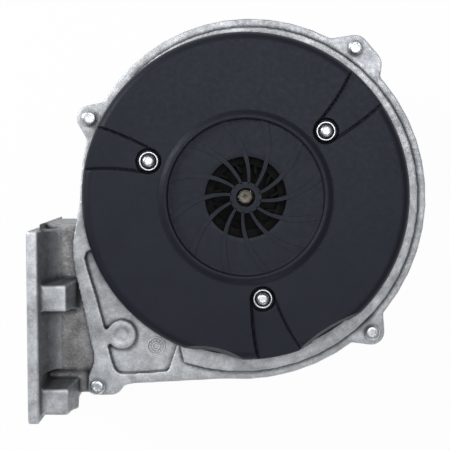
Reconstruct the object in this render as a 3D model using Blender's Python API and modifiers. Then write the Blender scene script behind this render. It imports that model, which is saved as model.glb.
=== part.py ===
"""Premix gas blower for a condensing boiler: a die-cast scroll casing in two halves, a radial
impeller on a brushless motor, and a black plastic motor cover with a swirled air grille.

The impeller's axis is vertical, the intake faces down and the outlet flange faces -X.
Sizes are in millimetres and are turned into metres where meshes are made.
"""

import bmesh
import bpy
from math import asin, cos, degrees, hypot, pi, radians, sin, tan
from mathutils import Matrix, Vector

MM = 0.001

ROUND_STEPS = 38     # straight runs that make up the scroll's long curve

# ---------------------------------------------------------------- clearances
GAP = 0.3            # between pieces that touch
CUT = 1.0            # how far a cutter runs past the face that it opens

# ---------------------------------------------------------------- heights above the intake face
INTAKE_HEIGHT = 34.0       # intake face to the scroll's underside
SCROLL_HEIGHT = 54.0       # scroll's underside to the joint between the castings
BAND_THICKNESS = 4.0       # flange band of the motor-side casting
PLATFORM_RISE = 2.5        # platform under the motor cover, above the band
COVER_HEIGHT = 28.4        # motor cover's flat top above its foot
LIP_RISE = 1.8             # raised lip around the grille, above the flat top

SEAM_Z = INTAKE_HEIGHT + SCROLL_HEIGHT
BAND_Z = SEAM_Z + BAND_THICKNESS
PLATFORM_Z = BAND_Z + PLATFORM_RISE
COVER_FOOT_Z = PLATFORM_Z + GAP
COVER_Z = COVER_FOOT_Z + COVER_HEIGHT
LIP_Z = COVER_Z + LIP_RISE

# ---------------------------------------------------------------- castings
CAST_WALL = 3.6
SCROLL_START_RADIUS = 98.3     # outline of the flange band where the scroll starts
SCROLL_GROWTH = 12.8           # how much the outline grows to the scroll's end
SCROLL_BOW = 2.2               # extra growth in the scroll's first half
SCROLL_START = 175.0           # degrees, counter-clockwise from +X
SCROLL_END = -96.0
RIM_WIDTH = 4.5                # flange rim outside the scroll's wall
PLATFORM_INSET = 5.3           # platform's edge inside the band's outline
SPIGOT_WIDTH = 12.3            # lid's inner hollow inside the scroll's start radius
SCREW_OUTSIDE = 2.8            # casing screws' centres outside the band's outline
LUG_RADIUS = 7.8
CASING_SCREW_ANGLES = (153.6, 53.3, -47.1)

# ---------------------------------------------------------------- outlet
OUTLET_REACH = 126.0           # impeller axis to the outlet flange's face
DUCT_WIDTH = 88.7
DUCT_INSIDE_SCROLL = 5.4       # duct's lower side inside the scroll's largest radius
FLANGE_THICKNESS = 6.8
FLANGE_ABOVE_SEAM = 31.5
FLANGE_BELOW_DUCT = 25.8       # flange's lower end past the duct's lower side
FLANGE_SHORT_OF_DUCT = 2.5     # flange's upper end inside the duct's upper side
FLANGE_DRAFT = 6.4             # how far the flange's back swells at the duct
MOUTH_CORNER = 7.0
MOUTH_EDGE = 8.0               # mouth in from the flange's upper end
BOSS_WIDTH = 15.0
BOSS_BELOW_EDGE = 7.5          # bosses' ends inside the flange's edges
BOSS_REACH = 14.5              # bolt bosses behind the flange
SIDE_BOSS_REACH = 16.0
BOLT_ABOVE_DUCT_SIDE = 46.5    # upper bolts above the duct's lower side
BOLT_BELOW_DUCT_SIDE = 14.5    # lower bolts below it
BOLT_SPACING_Z = 90.0
BOLT_HOLE_RADIUS = 3.2
SEAL_CORD = 3.0                # side of the square seal cords
SEAL_OFFSET = 3.0              # seal cord outside the duct's mouth
INTAKE_SEAL_OUTSIDE = 2.0      # seal cord outside the intake's bore

# ---------------------------------------------------------------- intake
INTAKE_FLANGE_RADIUS = 55.0
INTAKE_FLANGE_THICKNESS = 7.0
INTAKE_NECK_RADIUS = 42.0
INTAKE_BORE_RADIUS = 36.0
NOZZLE_THROAT_RADIUS = 25.0
INTAKE_BOLT_CIRCLE = 49.5
INTAKE_BOLT_RADIUS = 2.6

# ---------------------------------------------------------------- corner of the motor-side casting
CORNER_BELOW_DUCT = 14.9
CORNER_SCREW_INSIDE = (9.7, 5.6)   # in from the scroll's start radius, up from the corner
SCREW_BOSS_CLEARANCE = 1.0
POCKET_DEPTH = 2.6
POCKET_FLOOR = 3.4
POCKET_BOSS_INSIDE = 24.1          # in from the scroll's start radius
POCKET_BOSS_RADIUS = 8.8
BOSS_DIMPLE_RADIUS = 5.2

# ---------------------------------------------------------------- motor cover
COVER_RADIUS = 95.0
COVER_DRAFT = 1.2
COVER_EDGE_ROUND = 5.5
COVER_WALL = 2.4
LIP_CREST_RADIUS = 45.6
LIP_FOOT_RADIUS = 49.5
RECESS_RADIUS = 44.3
RECESS_DEPTH = 1.6             # grille recess below the flat top
OPENING_RADIUS = 23.2
GRILLE_THICKNESS = 2.6
HUB_RADIUS = 8.9
HUB_HOLE_RADIUS = 5.4
RIBS = 12
RIB_START_ANGLE = 21.0         # rib's centre line at RIB_START_RADIUS
RIB_START_RADIUS = 11.3
RIB_SWEEP = 0.771              # degrees per millimetre of radius
RIB_WIDTH = 1.64
RIB_WIDENING = 0.066           # per millimetre of radius
RIB_RELIEF = 0.7               # ribs above the recess floor
COVER_SCREW_RADIUS = 59.0      # pitch radius of the three cover screws
COVER_SCREW_ANGLES = (39.6, 159.6, 279.6)
POCKET_RADIUS = 7.5
COVER_POCKET_DEPTH = 6.0
CHANNEL_DEPTH = 2.2
SCALLOP_ANGLES = ((-101.5, 50.0), (-57.9, 95.0))   # direction, radius of the scoop
SCALLOP_INSET = 6.2
SCALLOP_DEPTH = 17.0
SCALLOP_SLOPE = 5.5

# ---------------------------------------------------------------- fasteners
M5 = {"thread": 2.5, "head": 4.75, "height": 3.6, "drive": 2.2}
M4 = {"thread": 2.0, "head": 3.5, "height": 3.1, "drive": 1.7}
RING_OUTER = 5.45
RING_INNER = 4.5
RING_HEIGHT = 3.0

# ---------------------------------------------------------------- rotating parts
SHAFT_RADIUS = 4.0
SHAFT_BELOW_PLATE = 23.5       # shaft's lower end below the wheel's back plate
SHAFT_BELOW_TOP = 18.0
WHEEL_RADIUS = 74.0
WHEEL_BELOW_SEAM = 11.5
WHEEL_PLATE = 1.6
WHEEL_EYE_RADIUS = 29.0
WHEEL_OUTLET_WIDTH = 17.0
WHEEL_ABOVE_FLOOR = 13.0       # shroud's inlet edge above the scroll's underside
WHEEL_BLADES = 9
BLADE_WIDTH = 1.8
BLADE_LEAN = 48.0              # degrees that a blade lags between eye and rim
BUSH_RADIUS = 8.0
BEARING_OUTER = 11.0
BEARING_WIDTH = 7.0
BEARING_SPACING = 12.0
BALL_RADIUS = 1.6
BALL_PITCH = 7.6
BALLS = 7

# ---------------------------------------------------------------- motor
WELL_RADIUS = 47.0
WELL_SINK = 5.0                # well's floor below the joint between the castings
TUBE_RADIUS = 13.5
STATOR_RADIUS = 32.0
STATOR_RISE = 4.5              # stack's underside above the well's floor
STATOR_HEIGHT = 8.5
STATOR_TEETH = 6
AIR_GAP = 0.8
MAGNET = 3.2
MAGNET_HEIGHT = 12.0
CAN_WALL = 1.6
CAN_RISE = 2.0                 # can's rim above the well's floor
CAN_HEIGHT = 17.6
FAN_RADIUS = 42.0
FAN_EYE_RADIUS = 19.0
FAN_HEIGHT = 9.9
FAN_BLADES = 11
BOARD_INNER = 49.6
BOARD_CLEARANCE = 4.6          # board's edge inside the cover's wall
BOARD_RISE = 3.0
BOARD = 1.6
SPACER_INSIDE = 10.0           # spacer ring's inner side in from the board's edge
SPACER_WIDTH = 3.0
POST_RADIUS = 5.2              # posts that carry the cover's screws
POST_CLEARANCE = 0.5
CAPACITOR_RADIUS = 8.0
CAPACITOR_HEIGHT = 17.5
CAPACITOR_GAP = 4.0
CAPACITOR_ANGLE = 86.0         # between the two

SHAFT_HIGH_Z = LIP_Z - SHAFT_BELOW_TOP
WHEEL_PLATE_Z = SEAM_Z - WHEEL_BELOW_SEAM
WHEEL_INLET_Z = INTAKE_HEIGHT + WHEEL_ABOVE_FLOOR
SHAFT_LOW_Z = WHEEL_PLATE_Z - SHAFT_BELOW_PLATE
WELL_FLOOR_Z = SEAM_Z - WELL_SINK
LOWER_BEARING_Z = WELL_FLOOR_Z - 2.0
UPPER_BEARING_Z = LOWER_BEARING_Z + BEARING_SPACING
STATOR_Z = WELL_FLOOR_Z + STATOR_RISE
CAN_LOW_Z = WELL_FLOOR_Z + CAN_RISE
CAN_HIGH_Z = CAN_LOW_Z + CAN_HEIGHT
FAN_HIGH_Z = CAN_HIGH_Z + FAN_HEIGHT
BOARD_Z = PLATFORM_Z + BOARD_RISE
BOARD_OUTER = COVER_RADIUS - COVER_WALL - BOARD_CLEARANCE

DUCT_LOW_Y = DUCT_INSIDE_SCROLL - SCROLL_START_RADIUS - SCROLL_GROWTH
DUCT_HIGH_Y = DUCT_LOW_Y + DUCT_WIDTH
FLANGE_X = -OUTLET_REACH
FLANGE_BACK_X = FLANGE_X + FLANGE_THICKNESS
FLANGE_LOW_Y = DUCT_LOW_Y - FLANGE_BELOW_DUCT
FLANGE_HIGH_Y = DUCT_HIGH_Y - FLANGE_SHORT_OF_DUCT
FLANGE_HEIGHT = SEAM_Z + FLANGE_ABOVE_SEAM
BOSS_HIGH_Z = FLANGE_HEIGHT - BOSS_BELOW_EDGE
BOLT_UPPER_Y = DUCT_LOW_Y + BOLT_ABOVE_DUCT_SIDE
BOLT_LOWER_Y = DUCT_LOW_Y - BOLT_BELOW_DUCT_SIDE
CORNER_LOW_Y = DUCT_LOW_Y - CORNER_BELOW_DUCT

# ---------------------------------------------------------------- materials
LOOKS = {
    "cast_aluminium": ((0.42, 0.43, 0.44), 0.42, 1.0),
    "cover_plastic": ((0.032, 0.036, 0.045), 0.48, 0.0),
    "zinc_steel": ((0.66, 0.67, 0.68), 0.26, 1.0),
    "shaft_steel": ((0.40, 0.37, 0.31), 0.32, 1.0),
    "black_rubber": ((0.012, 0.012, 0.013), 0.7, 0.0),
    "wheel_aluminium": ((0.55, 0.56, 0.57), 0.35, 1.0),
    "lamination_steel": ((0.30, 0.31, 0.33), 0.4, 1.0),
    "copper_wire": ((0.55, 0.20, 0.07), 0.35, 1.0),
    "white_plastic": ((0.75, 0.74, 0.70), 0.5, 0.0),
    "magnet_ferrite": ((0.06, 0.06, 0.065), 0.55, 0.0),
    "board_laminate": ((0.02, 0.16, 0.06), 0.45, 0.0),
    "brass": ((0.60, 0.44, 0.20), 0.3, 1.0),
    "capacitor_sleeve": ((0.015, 0.02, 0.05), 0.4, 0.0),
    "fan_plastic": ((0.02, 0.02, 0.022), 0.55, 0.0),
}

OBJECT_NAME = "premix_gas_blower"


# ================================================================ scene helpers
def clear_scene():
    for obj in list(bpy.data.objects):
        bpy.data.objects.remove(obj, do_unlink=True)


def new_collection(name, hidden=False):
    collection = bpy.data.collections.new(name)
    bpy.context.scene.collection.children.link(collection)
    collection.hide_render = hidden
    return collection


def material(look, name):
    colour, roughness, metallic = LOOKS[look]
    made = bpy.data.materials.new(name)
    made.use_nodes = True
    shader = made.node_tree.nodes["Principled BSDF"]
    shader.inputs["Base Color"].default_value = (*colour, 1.0)
    shader.inputs["Roughness"].default_value = roughness
    shader.inputs["Metallic"].default_value = metallic
    made.diffuse_color = (*colour, 1.0)
    return made


def place(name, mesh, collection):
    obj = bpy.data.objects.new(name, mesh)
    collection.objects.link(obj)
    return obj


def cutter(obj):
    """Keeps a helper solid out of the renders and of the finished object."""
    obj.hide_render = True
    obj.display_type = "WIRE"
    return obj


def evaluated_mesh(obj):
    depsgraph = bpy.context.evaluated_depsgraph_get()
    depsgraph.update()
    return bpy.data.meshes.new_from_object(obj.evaluated_get(depsgraph))


def welded(mesh):
    form = bmesh.new()
    form.from_mesh(mesh)
    bmesh.ops.remove_doubles(form, verts=form.verts, dist=0.000001)
    bmesh.ops.recalc_face_normals(form, faces=form.faces)
    form.to_mesh(mesh)
    form.free()
    return mesh


def levelled(mesh):
    """Rounds coordinates to a ten-thousandth of a millimetre, so that faces meant to lie in one
    plane do."""
    for vertex in mesh.vertices:
        vertex.co = [round(value, 7) for value in vertex.co]
    return mesh


def simplified(mesh):
    """Joins faces that lie in one plane, which the Booleans leave cut up."""
    form = bmesh.new()
    form.from_mesh(mesh)
    bmesh.ops.remove_doubles(form, verts=form.verts, dist=0.00001)
    bmesh.ops.dissolve_limit(form, angle_limit=radians(1.2), verts=form.verts,
                             edges=form.edges)
    bmesh.ops.triangulate(form, faces=form.faces)
    form.to_mesh(mesh)
    form.free()
    return mesh


def polar(radius, degrees):
    return radius * cos(radians(degrees)), radius * sin(radians(degrees))


def arc(radius, start, end, steps, centre=(0.0, 0.0)):
    """Points on a circle, both ends included; the angles are in degrees."""
    points = []
    for step in range(steps + 1):
        x, y = polar(radius, start + (end - start) * step / steps)
        points.append((centre[0] + x, centre[1] + y))
    return points


def circle(radius, steps, centre=(0.0, 0.0)):
    return arc(radius, 0, 360, steps, centre)[:-1]


def turned_about(points, degrees):
    """Plan points turned about the impeller's axis."""
    c, s = cos(radians(degrees)), sin(radians(degrees))
    return [(x * c - y * s, x * s + y * c) for x, y in points]


def smooth_through(points, steps):
    """A Catmull-Rom curve through plan points, both ends included."""
    ends = [points[0], *points, points[-1]]
    found = []
    for a, b, c, d in zip(ends, ends[1:], ends[2:], ends[3:]):
        for step in range(steps):
            t = step / steps
            found.append(tuple(
                0.5 * (2 * q + (r - p) * t + (2 * p - 5 * q + 4 * r - s) * t * t
                       + (3 * q - p - 3 * r + s) * t ** 3)
                for p, q, r, s in zip(a, b, c, d)))
    return [*found, points[-1]]


def hull(points):
    """The convex outline around plan points, counter-clockwise."""
    ordered = sorted(set(points))
    sides = []
    for run in (ordered, ordered[::-1]):
        side = []
        for point in run:
            while len(side) > 1:
                (ax, ay), (bx, by) = side[-2:]
                if (bx - ax) * (point[1] - ay) - (by - ay) * (point[0] - ax) > 0:
                    break
                side.pop()
            side.append(point)
        sides.append(side[:-1])
    return sides[0] + sides[1]


def grown(points, distance):
    """A counter-clockwise or clockwise outline with each side moved outwards by a distance."""
    count = len(points)
    area = sum(points[i - 1][0] * points[i][1] - points[i][0] * points[i - 1][1]
               for i in range(count))
    turn = 1 if area > 0 else -1
    moved = []
    for index, (x, y) in enumerate(points):
        before = Vector((x, y)) - Vector(points[index - 1])
        after = Vector(points[(index + 1) % count]) - Vector((x, y))
        a, b = before.normalized(), after.normalized()
        out = Vector((a.y + b.y, -a.x - b.x)).normalized() * turn
        stretch = max(0.5, out.dot(Vector((a.y, -a.x)) * turn))
        moved.append((x + out.x * distance / stretch, y + out.y * distance / stretch))
    return moved


# ================================================================ solid makers
def outline_solid(name, outlines, low, high, collection):
    """Flat outlines, each a closed loop of plan points, raised from one height to another.
    A loop inside another is a hole; separate loops give separate solids in one mesh."""
    curve = bpy.data.curves.new(name, "CURVE")
    curve.dimensions = "2D"
    curve.fill_mode = "BOTH"
    curve.extrude = (high - low) / 2 * MM
    for outline in outlines:
        spline = curve.splines.new("POLY")
        spline.points.add(len(outline) - 1)
        for point, (x, y) in zip(spline.points, outline):
            point.co = (x * MM, y * MM, 0, 1)
        spline.use_cyclic_u = True
    flat = place(name + "_outline", curve, collection)
    mesh = welded(evaluated_mesh(flat))
    bpy.data.objects.remove(flat, do_unlink=True)
    mesh.transform(Matrix.Translation((0, 0, (low + high) / 2 * MM)))
    mesh.name = name
    return place(name, levelled(mesh), collection)


def turned_solid(name, profile, collection, steps=30, closed=False, centre=(0.0, 0.0)):
    """A profile of (radius, height) pairs, down its outer side first, turned about the vertical
    through the centre. A closed profile is the section of a ring."""
    count = len(profile)
    edges = [(i, i + 1) for i in range(count - 1)]
    if closed:
        edges.append((count - 1, 0))
    mesh = bpy.data.meshes.new(name)
    mesh.from_pydata([(r * MM, 0, z * MM) for r, z in profile], edges, [])
    obj = place(name, mesh, collection)
    screw = obj.modifiers.new("turn", "SCREW")
    screw.axis = "Z"
    screw.steps = steps
    screw.render_steps = steps
    screw.use_merge_vertices = True
    screw.merge_threshold = 0.00001
    screw.use_smooth_shade = True
    obj.location = (centre[0] * MM, centre[1] * MM, 0)
    return obj


def ring(name, inner, outer, low, high, collection, steps=30, centre=(0.0, 0.0), chamfer=0.0):
    c = chamfer
    profile = [(outer - c, high), (outer, high - c), (outer, low + c), (outer - c, low),
               (inner, low), (inner, high)]
    if not c:
        profile = [(outer, high), (outer, low), (inner, low), (inner, high)]
    return turned_solid(name, profile, collection, steps, True, centre)


def rod(name, radius, low, high, collection, steps=16, centre=(0.0, 0.0), chamfer=0.0):
    c = chamfer
    profile = [(0, high), (radius - c, high), (radius, high - c), (radius, low + c),
               (radius - c, low), (0, low)]
    if not c:
        profile = [(0, high), (radius, high), (radius, low), (0, low)]
    return turned_solid(name, profile, collection, steps, False, centre)


def box(name, low, high, collection):
    form = bmesh.new()
    bmesh.ops.create_cube(form, size=1.0)
    size = [(b - a) * MM for a, b in zip(low, high)]
    middle = [(a + b) / 2 * MM for a, b in zip(low, high)]
    bmesh.ops.scale(form, vec=size, verts=form.verts)
    bmesh.ops.translate(form, vec=middle, verts=form.verts)
    mesh = bpy.data.meshes.new(name)
    form.to_mesh(mesh)
    form.free()
    return place(name, levelled(mesh), collection)


def level_rod(name, radius, start, end, collection, steps=12):
    """A round bar between two points."""
    a, b = Vector(start) * MM, Vector(end) * MM
    form = bmesh.new()
    bmesh.ops.create_cone(form, cap_ends=True, segments=steps, radius1=radius * MM,
                          radius2=radius * MM, depth=(b - a).length)
    mesh = bpy.data.meshes.new(name)
    form.to_mesh(mesh)
    form.free()
    turn = (b - a).to_track_quat("Z", "Y").to_matrix().to_4x4()
    mesh.transform(Matrix.Translation((a + b) / 2) @ turn)
    return place(name, mesh, collection)


def combine(obj, operation, tools):
    for tool in tools:
        step = obj.modifiers.new(operation.lower(), "BOOLEAN")
        step.operation = operation
        step.solver = "EXACT"
        step.object = cutter(tool)
    return obj


def finish(obj, look, parent, parts):
    """Settles the modifiers into the mesh, shades it and puts the piece under its parent."""
    mesh = simplified(evaluated_mesh(obj))
    mesh.transform(obj.matrix_world)
    name = obj.name
    obj.name = name + "_source"
    bpy.data.objects.remove(obj, do_unlink=True)
    mesh.shade_smooth()
    mesh.set_sharp_from_angle(angle=radians(32))
    piece = place(name, mesh, parts)
    mesh.name = name
    mesh.materials.clear()
    mesh.materials.append(material(look, name))
    piece.parent = parent
    return piece


# ================================================================ outlines in plan
def scroll_radius(angle):
    """Radius of the flange band's outline at an angle in degrees."""
    t = (SCROLL_START - angle) / (SCROLL_START - SCROLL_END)
    return SCROLL_START_RADIUS + SCROLL_GROWTH * t + SCROLL_BOW * 6.75 * t * (1 - t) ** 2


def scroll_arc(inset, start, end, steps):
    points = []
    for step in range(steps + 1):
        angle = start + (end - start) * step / steps
        points.append(polar(scroll_radius(angle) - inset, angle))
    return points


def beside_duct(points):
    """Plan points given as a distance in from the scroll's start radius and a share of the
    way from the duct's lower side to its upper side."""
    return [(inside - SCROLL_START_RADIUS, DUCT_LOW_Y + share * DUCT_WIDTH)
            for inside, share in points]


def seam_side(inset):
    """The band's free edge on the outlet side, from the corner up to the scroll's start."""
    points = beside_duct(((4.1, -0.037), (7.5, 0.081), (5.5, 0.2), (0.4, 0.475),
                          (-4.9, 0.775), (-3.3, 0.972), (-0.6, 1.124)))
    return smooth_through([(x + inset, y) for x, y in points], 3)


def band_outline(inset=0.0, steps=ROUND_STEPS):
    """Outline of the flange band: the scroll, a nearly straight lower edge, and the corner."""
    low = scroll_arc(inset, SCROLL_START, SCROLL_END, steps)
    corner = CORNER_LOW_Y + inset
    edge = -scroll_radius(SCROLL_END) + inset
    left = -SCROLL_START_RADIUS
    tail = [(left + 58.3, edge - 0.9), (left + 31.3, edge - 2.3), (left + 25.8, edge - 3.4),
            (left + 22.8, corner + 2.0), (left + 19.8, corner + 0.3), (left + 15.3, corner),
            (left + 7.3 + inset, corner), (left + 3.7 + inset, corner + 2.4)]
    return low + tail + seam_side(inset)


def cavity_outline(grow=0.0):
    """The scroll's open inside, which the motor-side casting closes."""
    low = scroll_arc(RIM_WIDTH + CAST_WALL, SCROLL_START, SCROLL_END, ROUND_STEPS)
    bottom = DUCT_LOW_Y + CAST_WALL
    left = -SCROLL_START_RADIUS
    floor_side = [(left + 48.3, bottom), (left + 20.3, bottom), (left + 15.3, bottom + 6.0)]
    seam = beside_duct(((12.3, 0.301), (7.8, 0.538), (4.8, 0.763), (5.8, 0.921),
                        (7.3, 1.079)))
    return grown(low + floor_side + seam, grow)


def casing_screw_places():
    places = []
    for angle in CASING_SCREW_ANGLES:
        places.append(polar(scroll_radius(angle) + SCREW_OUTSIDE, angle))
    inside, up = CORNER_SCREW_INSIDE
    past_boss = FLANGE_BACK_X + SIDE_BOSS_REACH + M5["head"] + SCREW_BOSS_CLEARANCE
    places.append((max(inside - SCROLL_START_RADIUS, past_boss), CORNER_LOW_Y + up))
    return places


def lug_outlines(grow=0.0):
    """Screw lugs outside the band: a round end run into the scroll's outline."""
    outlines = []
    for index, angle in enumerate(CASING_SCREW_ANGLES):
        centre = polar(scroll_radius(angle) + SCREW_OUTSIDE, angle)
        points = circle(LUG_RADIUS + grow, 18, centre)
        if index == 1:
            beside = polar(scroll_radius(angle - 6) + 0.6, angle - 6.5)
            points += circle(LUG_RADIUS + grow, 18, beside)
        spread = 10.5 if index == 1 else 8.5
        for side in (-spread - (3 if index == 1 else 0), spread):
            points.append(polar(scroll_radius(angle + side) - 3.0, angle + side))
        points.append(polar(scroll_radius(angle) - 9.0, angle))
        outlines.append(hull(points))
    return outlines


def platform_outline(inset=PLATFORM_INSET):
    low = scroll_arc(inset, SCROLL_START, -110.0, ROUND_STEPS)
    return low + arc(COVER_RADIUS + 1.6, -114.0, -182.0, 10)


def corner_pocket_outline():
    """Shallow pocket between the seam and the motor cover."""
    left = smooth_through(beside_duct(((6.0, 0.825), (2.5, 0.769), (8.8, 0.515), (14.9, 0.257),
                                       (16.3, 0.154), (19.7, 0.019), (23.3, -0.017))), 3)
    low = beside_duct(((38.3, -0.015), (52.3, 0.001)))
    return left + low + arc(COVER_RADIUS + 2.0, -114.5, -160.5, 8)


def pocket_belly_outline():
    """Underside of the corner pocket, inside the scroll's cavity."""
    return beside_duct(((12.3, 0.808), (12.8, 0.493), (17.8, 0.233), (22.3, 0.0755),
                        (48.3, 0.0755), (40.3, 0.38), (20.3, 0.673)))


def pocket_boss_place():
    return beside_duct(((POCKET_BOSS_INSIDE, 0.248),))[0]


def rib_outline(inner, outer, steps=7):
    """One grille rib, whose centre line turns steadily as its radius grows."""
    sides = [[], []]
    for step in range(steps + 1):
        radius = inner + (outer - inner) * step / steps
        angle = RIB_START_ANGLE + RIB_SWEEP * (radius - RIB_START_RADIUS)
        width = RIB_WIDTH + RIB_WIDENING * (radius - RIB_START_RADIUS)
        half = width / 2 * hypot(1, radians(RIB_SWEEP) * radius)
        spread = half / radius * 180 / pi
        sides[0].append(polar(radius, angle - spread))
        sides[1].append(polar(radius, angle + spread))
    return sides[0] + sides[1][::-1]


def channel_outline(grow=0.0):
    """Screw channel along +X, from the screw pocket out through the cover's rim."""
    radius = POCKET_RADIUS + grow
    reach = COVER_RADIUS + 4 if not grow else COVER_RADIUS - 2
    end = arc(radius, -95, -265, 8, (COVER_SCREW_RADIUS, 0))[1:-1]
    bowed = []
    start = (COVER_SCREW_RADIUS, radius)
    bend = (COVER_SCREW_RADIUS + 0.444 * (COVER_RADIUS - COVER_SCREW_RADIUS), radius + 6.7)
    stop = polar(reach, 10.8)
    stop = (stop[0], stop[1] + grow)
    for step in range(6):
        t = step / 5
        bowed.append(tuple((1 - t) ** 2 * a + 2 * t * (1 - t) * b + t * t * c
                           for a, b, c in zip(start, bend, stop)))
    low = polar(reach, -5.5)
    return [(low[0], low[1] - grow), (COVER_SCREW_RADIUS, -radius)] + end + bowed


# ================================================================ castings
def scroll_casing(parts, tools):
    """Bowl of the scroll with its intake neck, outlet duct, outlet flange and bolt bosses."""
    name = "scroll_casing"
    floor = INTAKE_HEIGHT
    body = outline_solid(name, [band_outline()], SEAM_Z - BAND_THICKNESS, SEAM_Z - GAP, parts)
    bowl = outline_solid("scroll_bowl", [band_outline(RIM_WIDTH)], floor, SEAM_Z - 2, tools)
    duct = box("duct_block", (FLANGE_BACK_X - 1, DUCT_LOW_Y, floor),
               (-70, DUCT_HIGH_Y, SEAM_Z - GAP), tools)
    lugs = outline_solid("scroll_lugs", lug_outlines(), SEAM_Z - 6, SEAM_Z - GAP, tools)
    screw_towers = []
    for index, centre in enumerate(casing_screw_places()):
        screw_towers.append(rod(f"screw_tower_{index}", 6.2, SEAM_Z - 24, SEAM_Z - 3, tools,
                                12, centre))
    flange = outline_solid("flange_plate", [
        [(FLANGE_X, FLANGE_LOW_Y), (FLANGE_BACK_X, FLANGE_LOW_Y),
         (FLANGE_BACK_X, FLANGE_HIGH_Y), (FLANGE_X, FLANGE_HIGH_Y)]], 0, FLANGE_HEIGHT, tools)
    swell = box("flange_swell", (FLANGE_BACK_X - 1, DUCT_LOW_Y - 1, floor - 10),
                (FLANGE_BACK_X + FLANGE_DRAFT, DUCT_HIGH_Y + 1, SEAM_Z + 20), tools)
    for vertex in swell.data.vertices:
        away = vertex.co.z > (SEAM_Z + 10) * MM or vertex.co.z < floor * MM
        if vertex.co.x > FLANGE_BACK_X * MM and away:
            vertex.co.x = (FLANGE_BACK_X - 0.5) * MM
    neck = rod("intake_neck", INTAKE_NECK_RADIUS, 2, floor + 1, tools, 40)
    foot = rod("intake_flange", INTAKE_FLANGE_RADIUS, 0, INTAKE_FLANGE_THICKNESS, tools, 40)
    combine(body, "UNION", [bowl, duct, lugs, *screw_towers, flange, swell, neck, foot,
                            *bolt_blocks(tools)])
    cavity = outline_solid("scroll_cavity", [cavity_outline()],
                           floor + CAST_WALL, SEAM_Z + CUT, tools)
    mouth = duct_mouth(tools)
    eye = rod("intake_eye", INTAKE_BORE_RADIUS, -CUT, floor + CAST_WALL + CUT, tools, 40)
    holes = [rod(f"casing_screw_hole_{i}", M5["thread"] + GAP, SEAM_Z - 18, SEAM_Z + CUT, tools,
                 10, centre) for i, centre in enumerate(casing_screw_places())]
    bolts = [level_rod(f"outlet_bolt_hole_{i}", BOLT_HOLE_RADIUS, (FLANGE_X - CUT, y, z),
                       (FLANGE_X + 15, y, z), tools) for i, (y, z) in enumerate(bolt_places())]
    intake_bolts = [rod(f"intake_bolt_hole_{i}", INTAKE_BOLT_RADIUS, -CUT,
                        INTAKE_FLANGE_THICKNESS + CUT, tools, 10,
                        polar(INTAKE_BOLT_CIRCLE, 45 + 90 * i)) for i in range(4)]
    combine(body, "DIFFERENCE", [cavity, mouth, eye, *holes, *bolts, *intake_bolts,
                                 outlet_groove(tools), intake_groove(tools), seam_groove(tools)])
    return body


def bolt_places():
    middle = FLANGE_HEIGHT / 2
    heights = (middle + BOLT_SPACING_Z / 2, middle - BOLT_SPACING_Z / 2)
    return [(y, z) for y in (BOLT_UPPER_Y, BOLT_LOWER_Y) for z in heights]


def drafted_block(name, middle_y, low, high, tools):
    """A bolt boss behind the flange, wider and longer towards the duct."""
    half = BOSS_WIDTH / 2
    block = box(name, (FLANGE_BACK_X - 1, middle_y - half, low),
                (FLANGE_BACK_X + BOSS_REACH, middle_y + half, high), tools)
    draft = tan(radians(9))
    near_duct = SEAM_Z if low > INTAKE_HEIGHT else INTAKE_HEIGHT
    for vertex in block.data.vertices:
        drop = abs(vertex.co.z - near_duct * MM)
        if vertex.co.x > FLANGE_BACK_X * MM and drop > 10 * MM:
            vertex.co.x -= (drop - 10 * MM) * draft
    return block


def bolt_blocks(tools):
    """Short blocks above and below the duct, and one tall rib block beside it."""
    base = BOSS_BELOW_EDGE
    upper = drafted_block("bolt_block_top", BOLT_UPPER_Y, SEAM_Z - 4, BOSS_HIGH_Z, tools)
    lower = drafted_block("bolt_block_low", BOLT_UPPER_Y, base, INTAKE_HEIGHT + 4, tools)
    half = BOSS_WIDTH / 2
    beside = box("bolt_block_side", (FLANGE_BACK_X - 1, BOLT_LOWER_Y - half, base),
                 (FLANGE_BACK_X + SIDE_BOSS_REACH, BOLT_LOWER_Y + half, BOSS_HIGH_Z), tools)
    web = box("corner_web", (FLANGE_BACK_X + 1, CORNER_LOW_Y + 0.5, INTAKE_HEIGHT + 12),
              (12.3 - SCROLL_START_RADIUS, DUCT_LOW_Y + 2, SEAM_Z - 2), tools)
    return [upper, lower, beside, web]


def duct_mouth(tools):
    """Rounded duct from the outlet face into the scroll."""
    return upright(outline_solid("duct_mouth", [rounded_frame(0.0)], FLANGE_X - CUT,
                                 20.3 - SCROLL_START_RADIUS, tools))


def rounded_frame(offset):
    """Rounded rectangle around the duct mouth, in Y and Z, at an offset from its edge."""
    low_y, high_y = DUCT_LOW_Y + CAST_WALL - offset, FLANGE_HIGH_Y - MOUTH_EDGE + offset
    low_z, high_z = INTAKE_HEIGHT + CAST_WALL - offset, SEAM_Z - CAST_WALL - GAP + offset
    c = MOUTH_CORNER + offset
    outline = []
    for y, z, start in ((low_y + c, low_z + c, 180), (high_y - c, low_z + c, 270),
                        (high_y - c, high_z - c, 0), (low_y + c, high_z - c, 90)):
        outline += arc(c, start, start + 90, 4, (y, z))
    return outline


def upright(obj):
    """Turns an outline solid from plan into the plane of the outlet flange."""
    obj.data.transform(Matrix(((0, 0, 1, 0), (1, 0, 0, 0), (0, 1, 0, 0), (0, 0, 0, 1))))
    return obj


def outlet_groove(tools):
    low, high = FLANGE_X - CUT, FLANGE_X + SEAL_CORD + 0.2
    return upright(outline_solid("outlet_groove", [
        rounded_frame(SEAL_OFFSET + SEAL_CORD + GAP), rounded_frame(SEAL_OFFSET - GAP)],
        low, high, tools))


def outlet_seal(parts):
    low, high = FLANGE_X + 0.1, FLANGE_X + SEAL_CORD - 0.1
    return upright(outline_solid("outlet_seal", [rounded_frame(SEAL_OFFSET + SEAL_CORD),
                                                 rounded_frame(SEAL_OFFSET)], low, high,
                                 parts))


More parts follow.
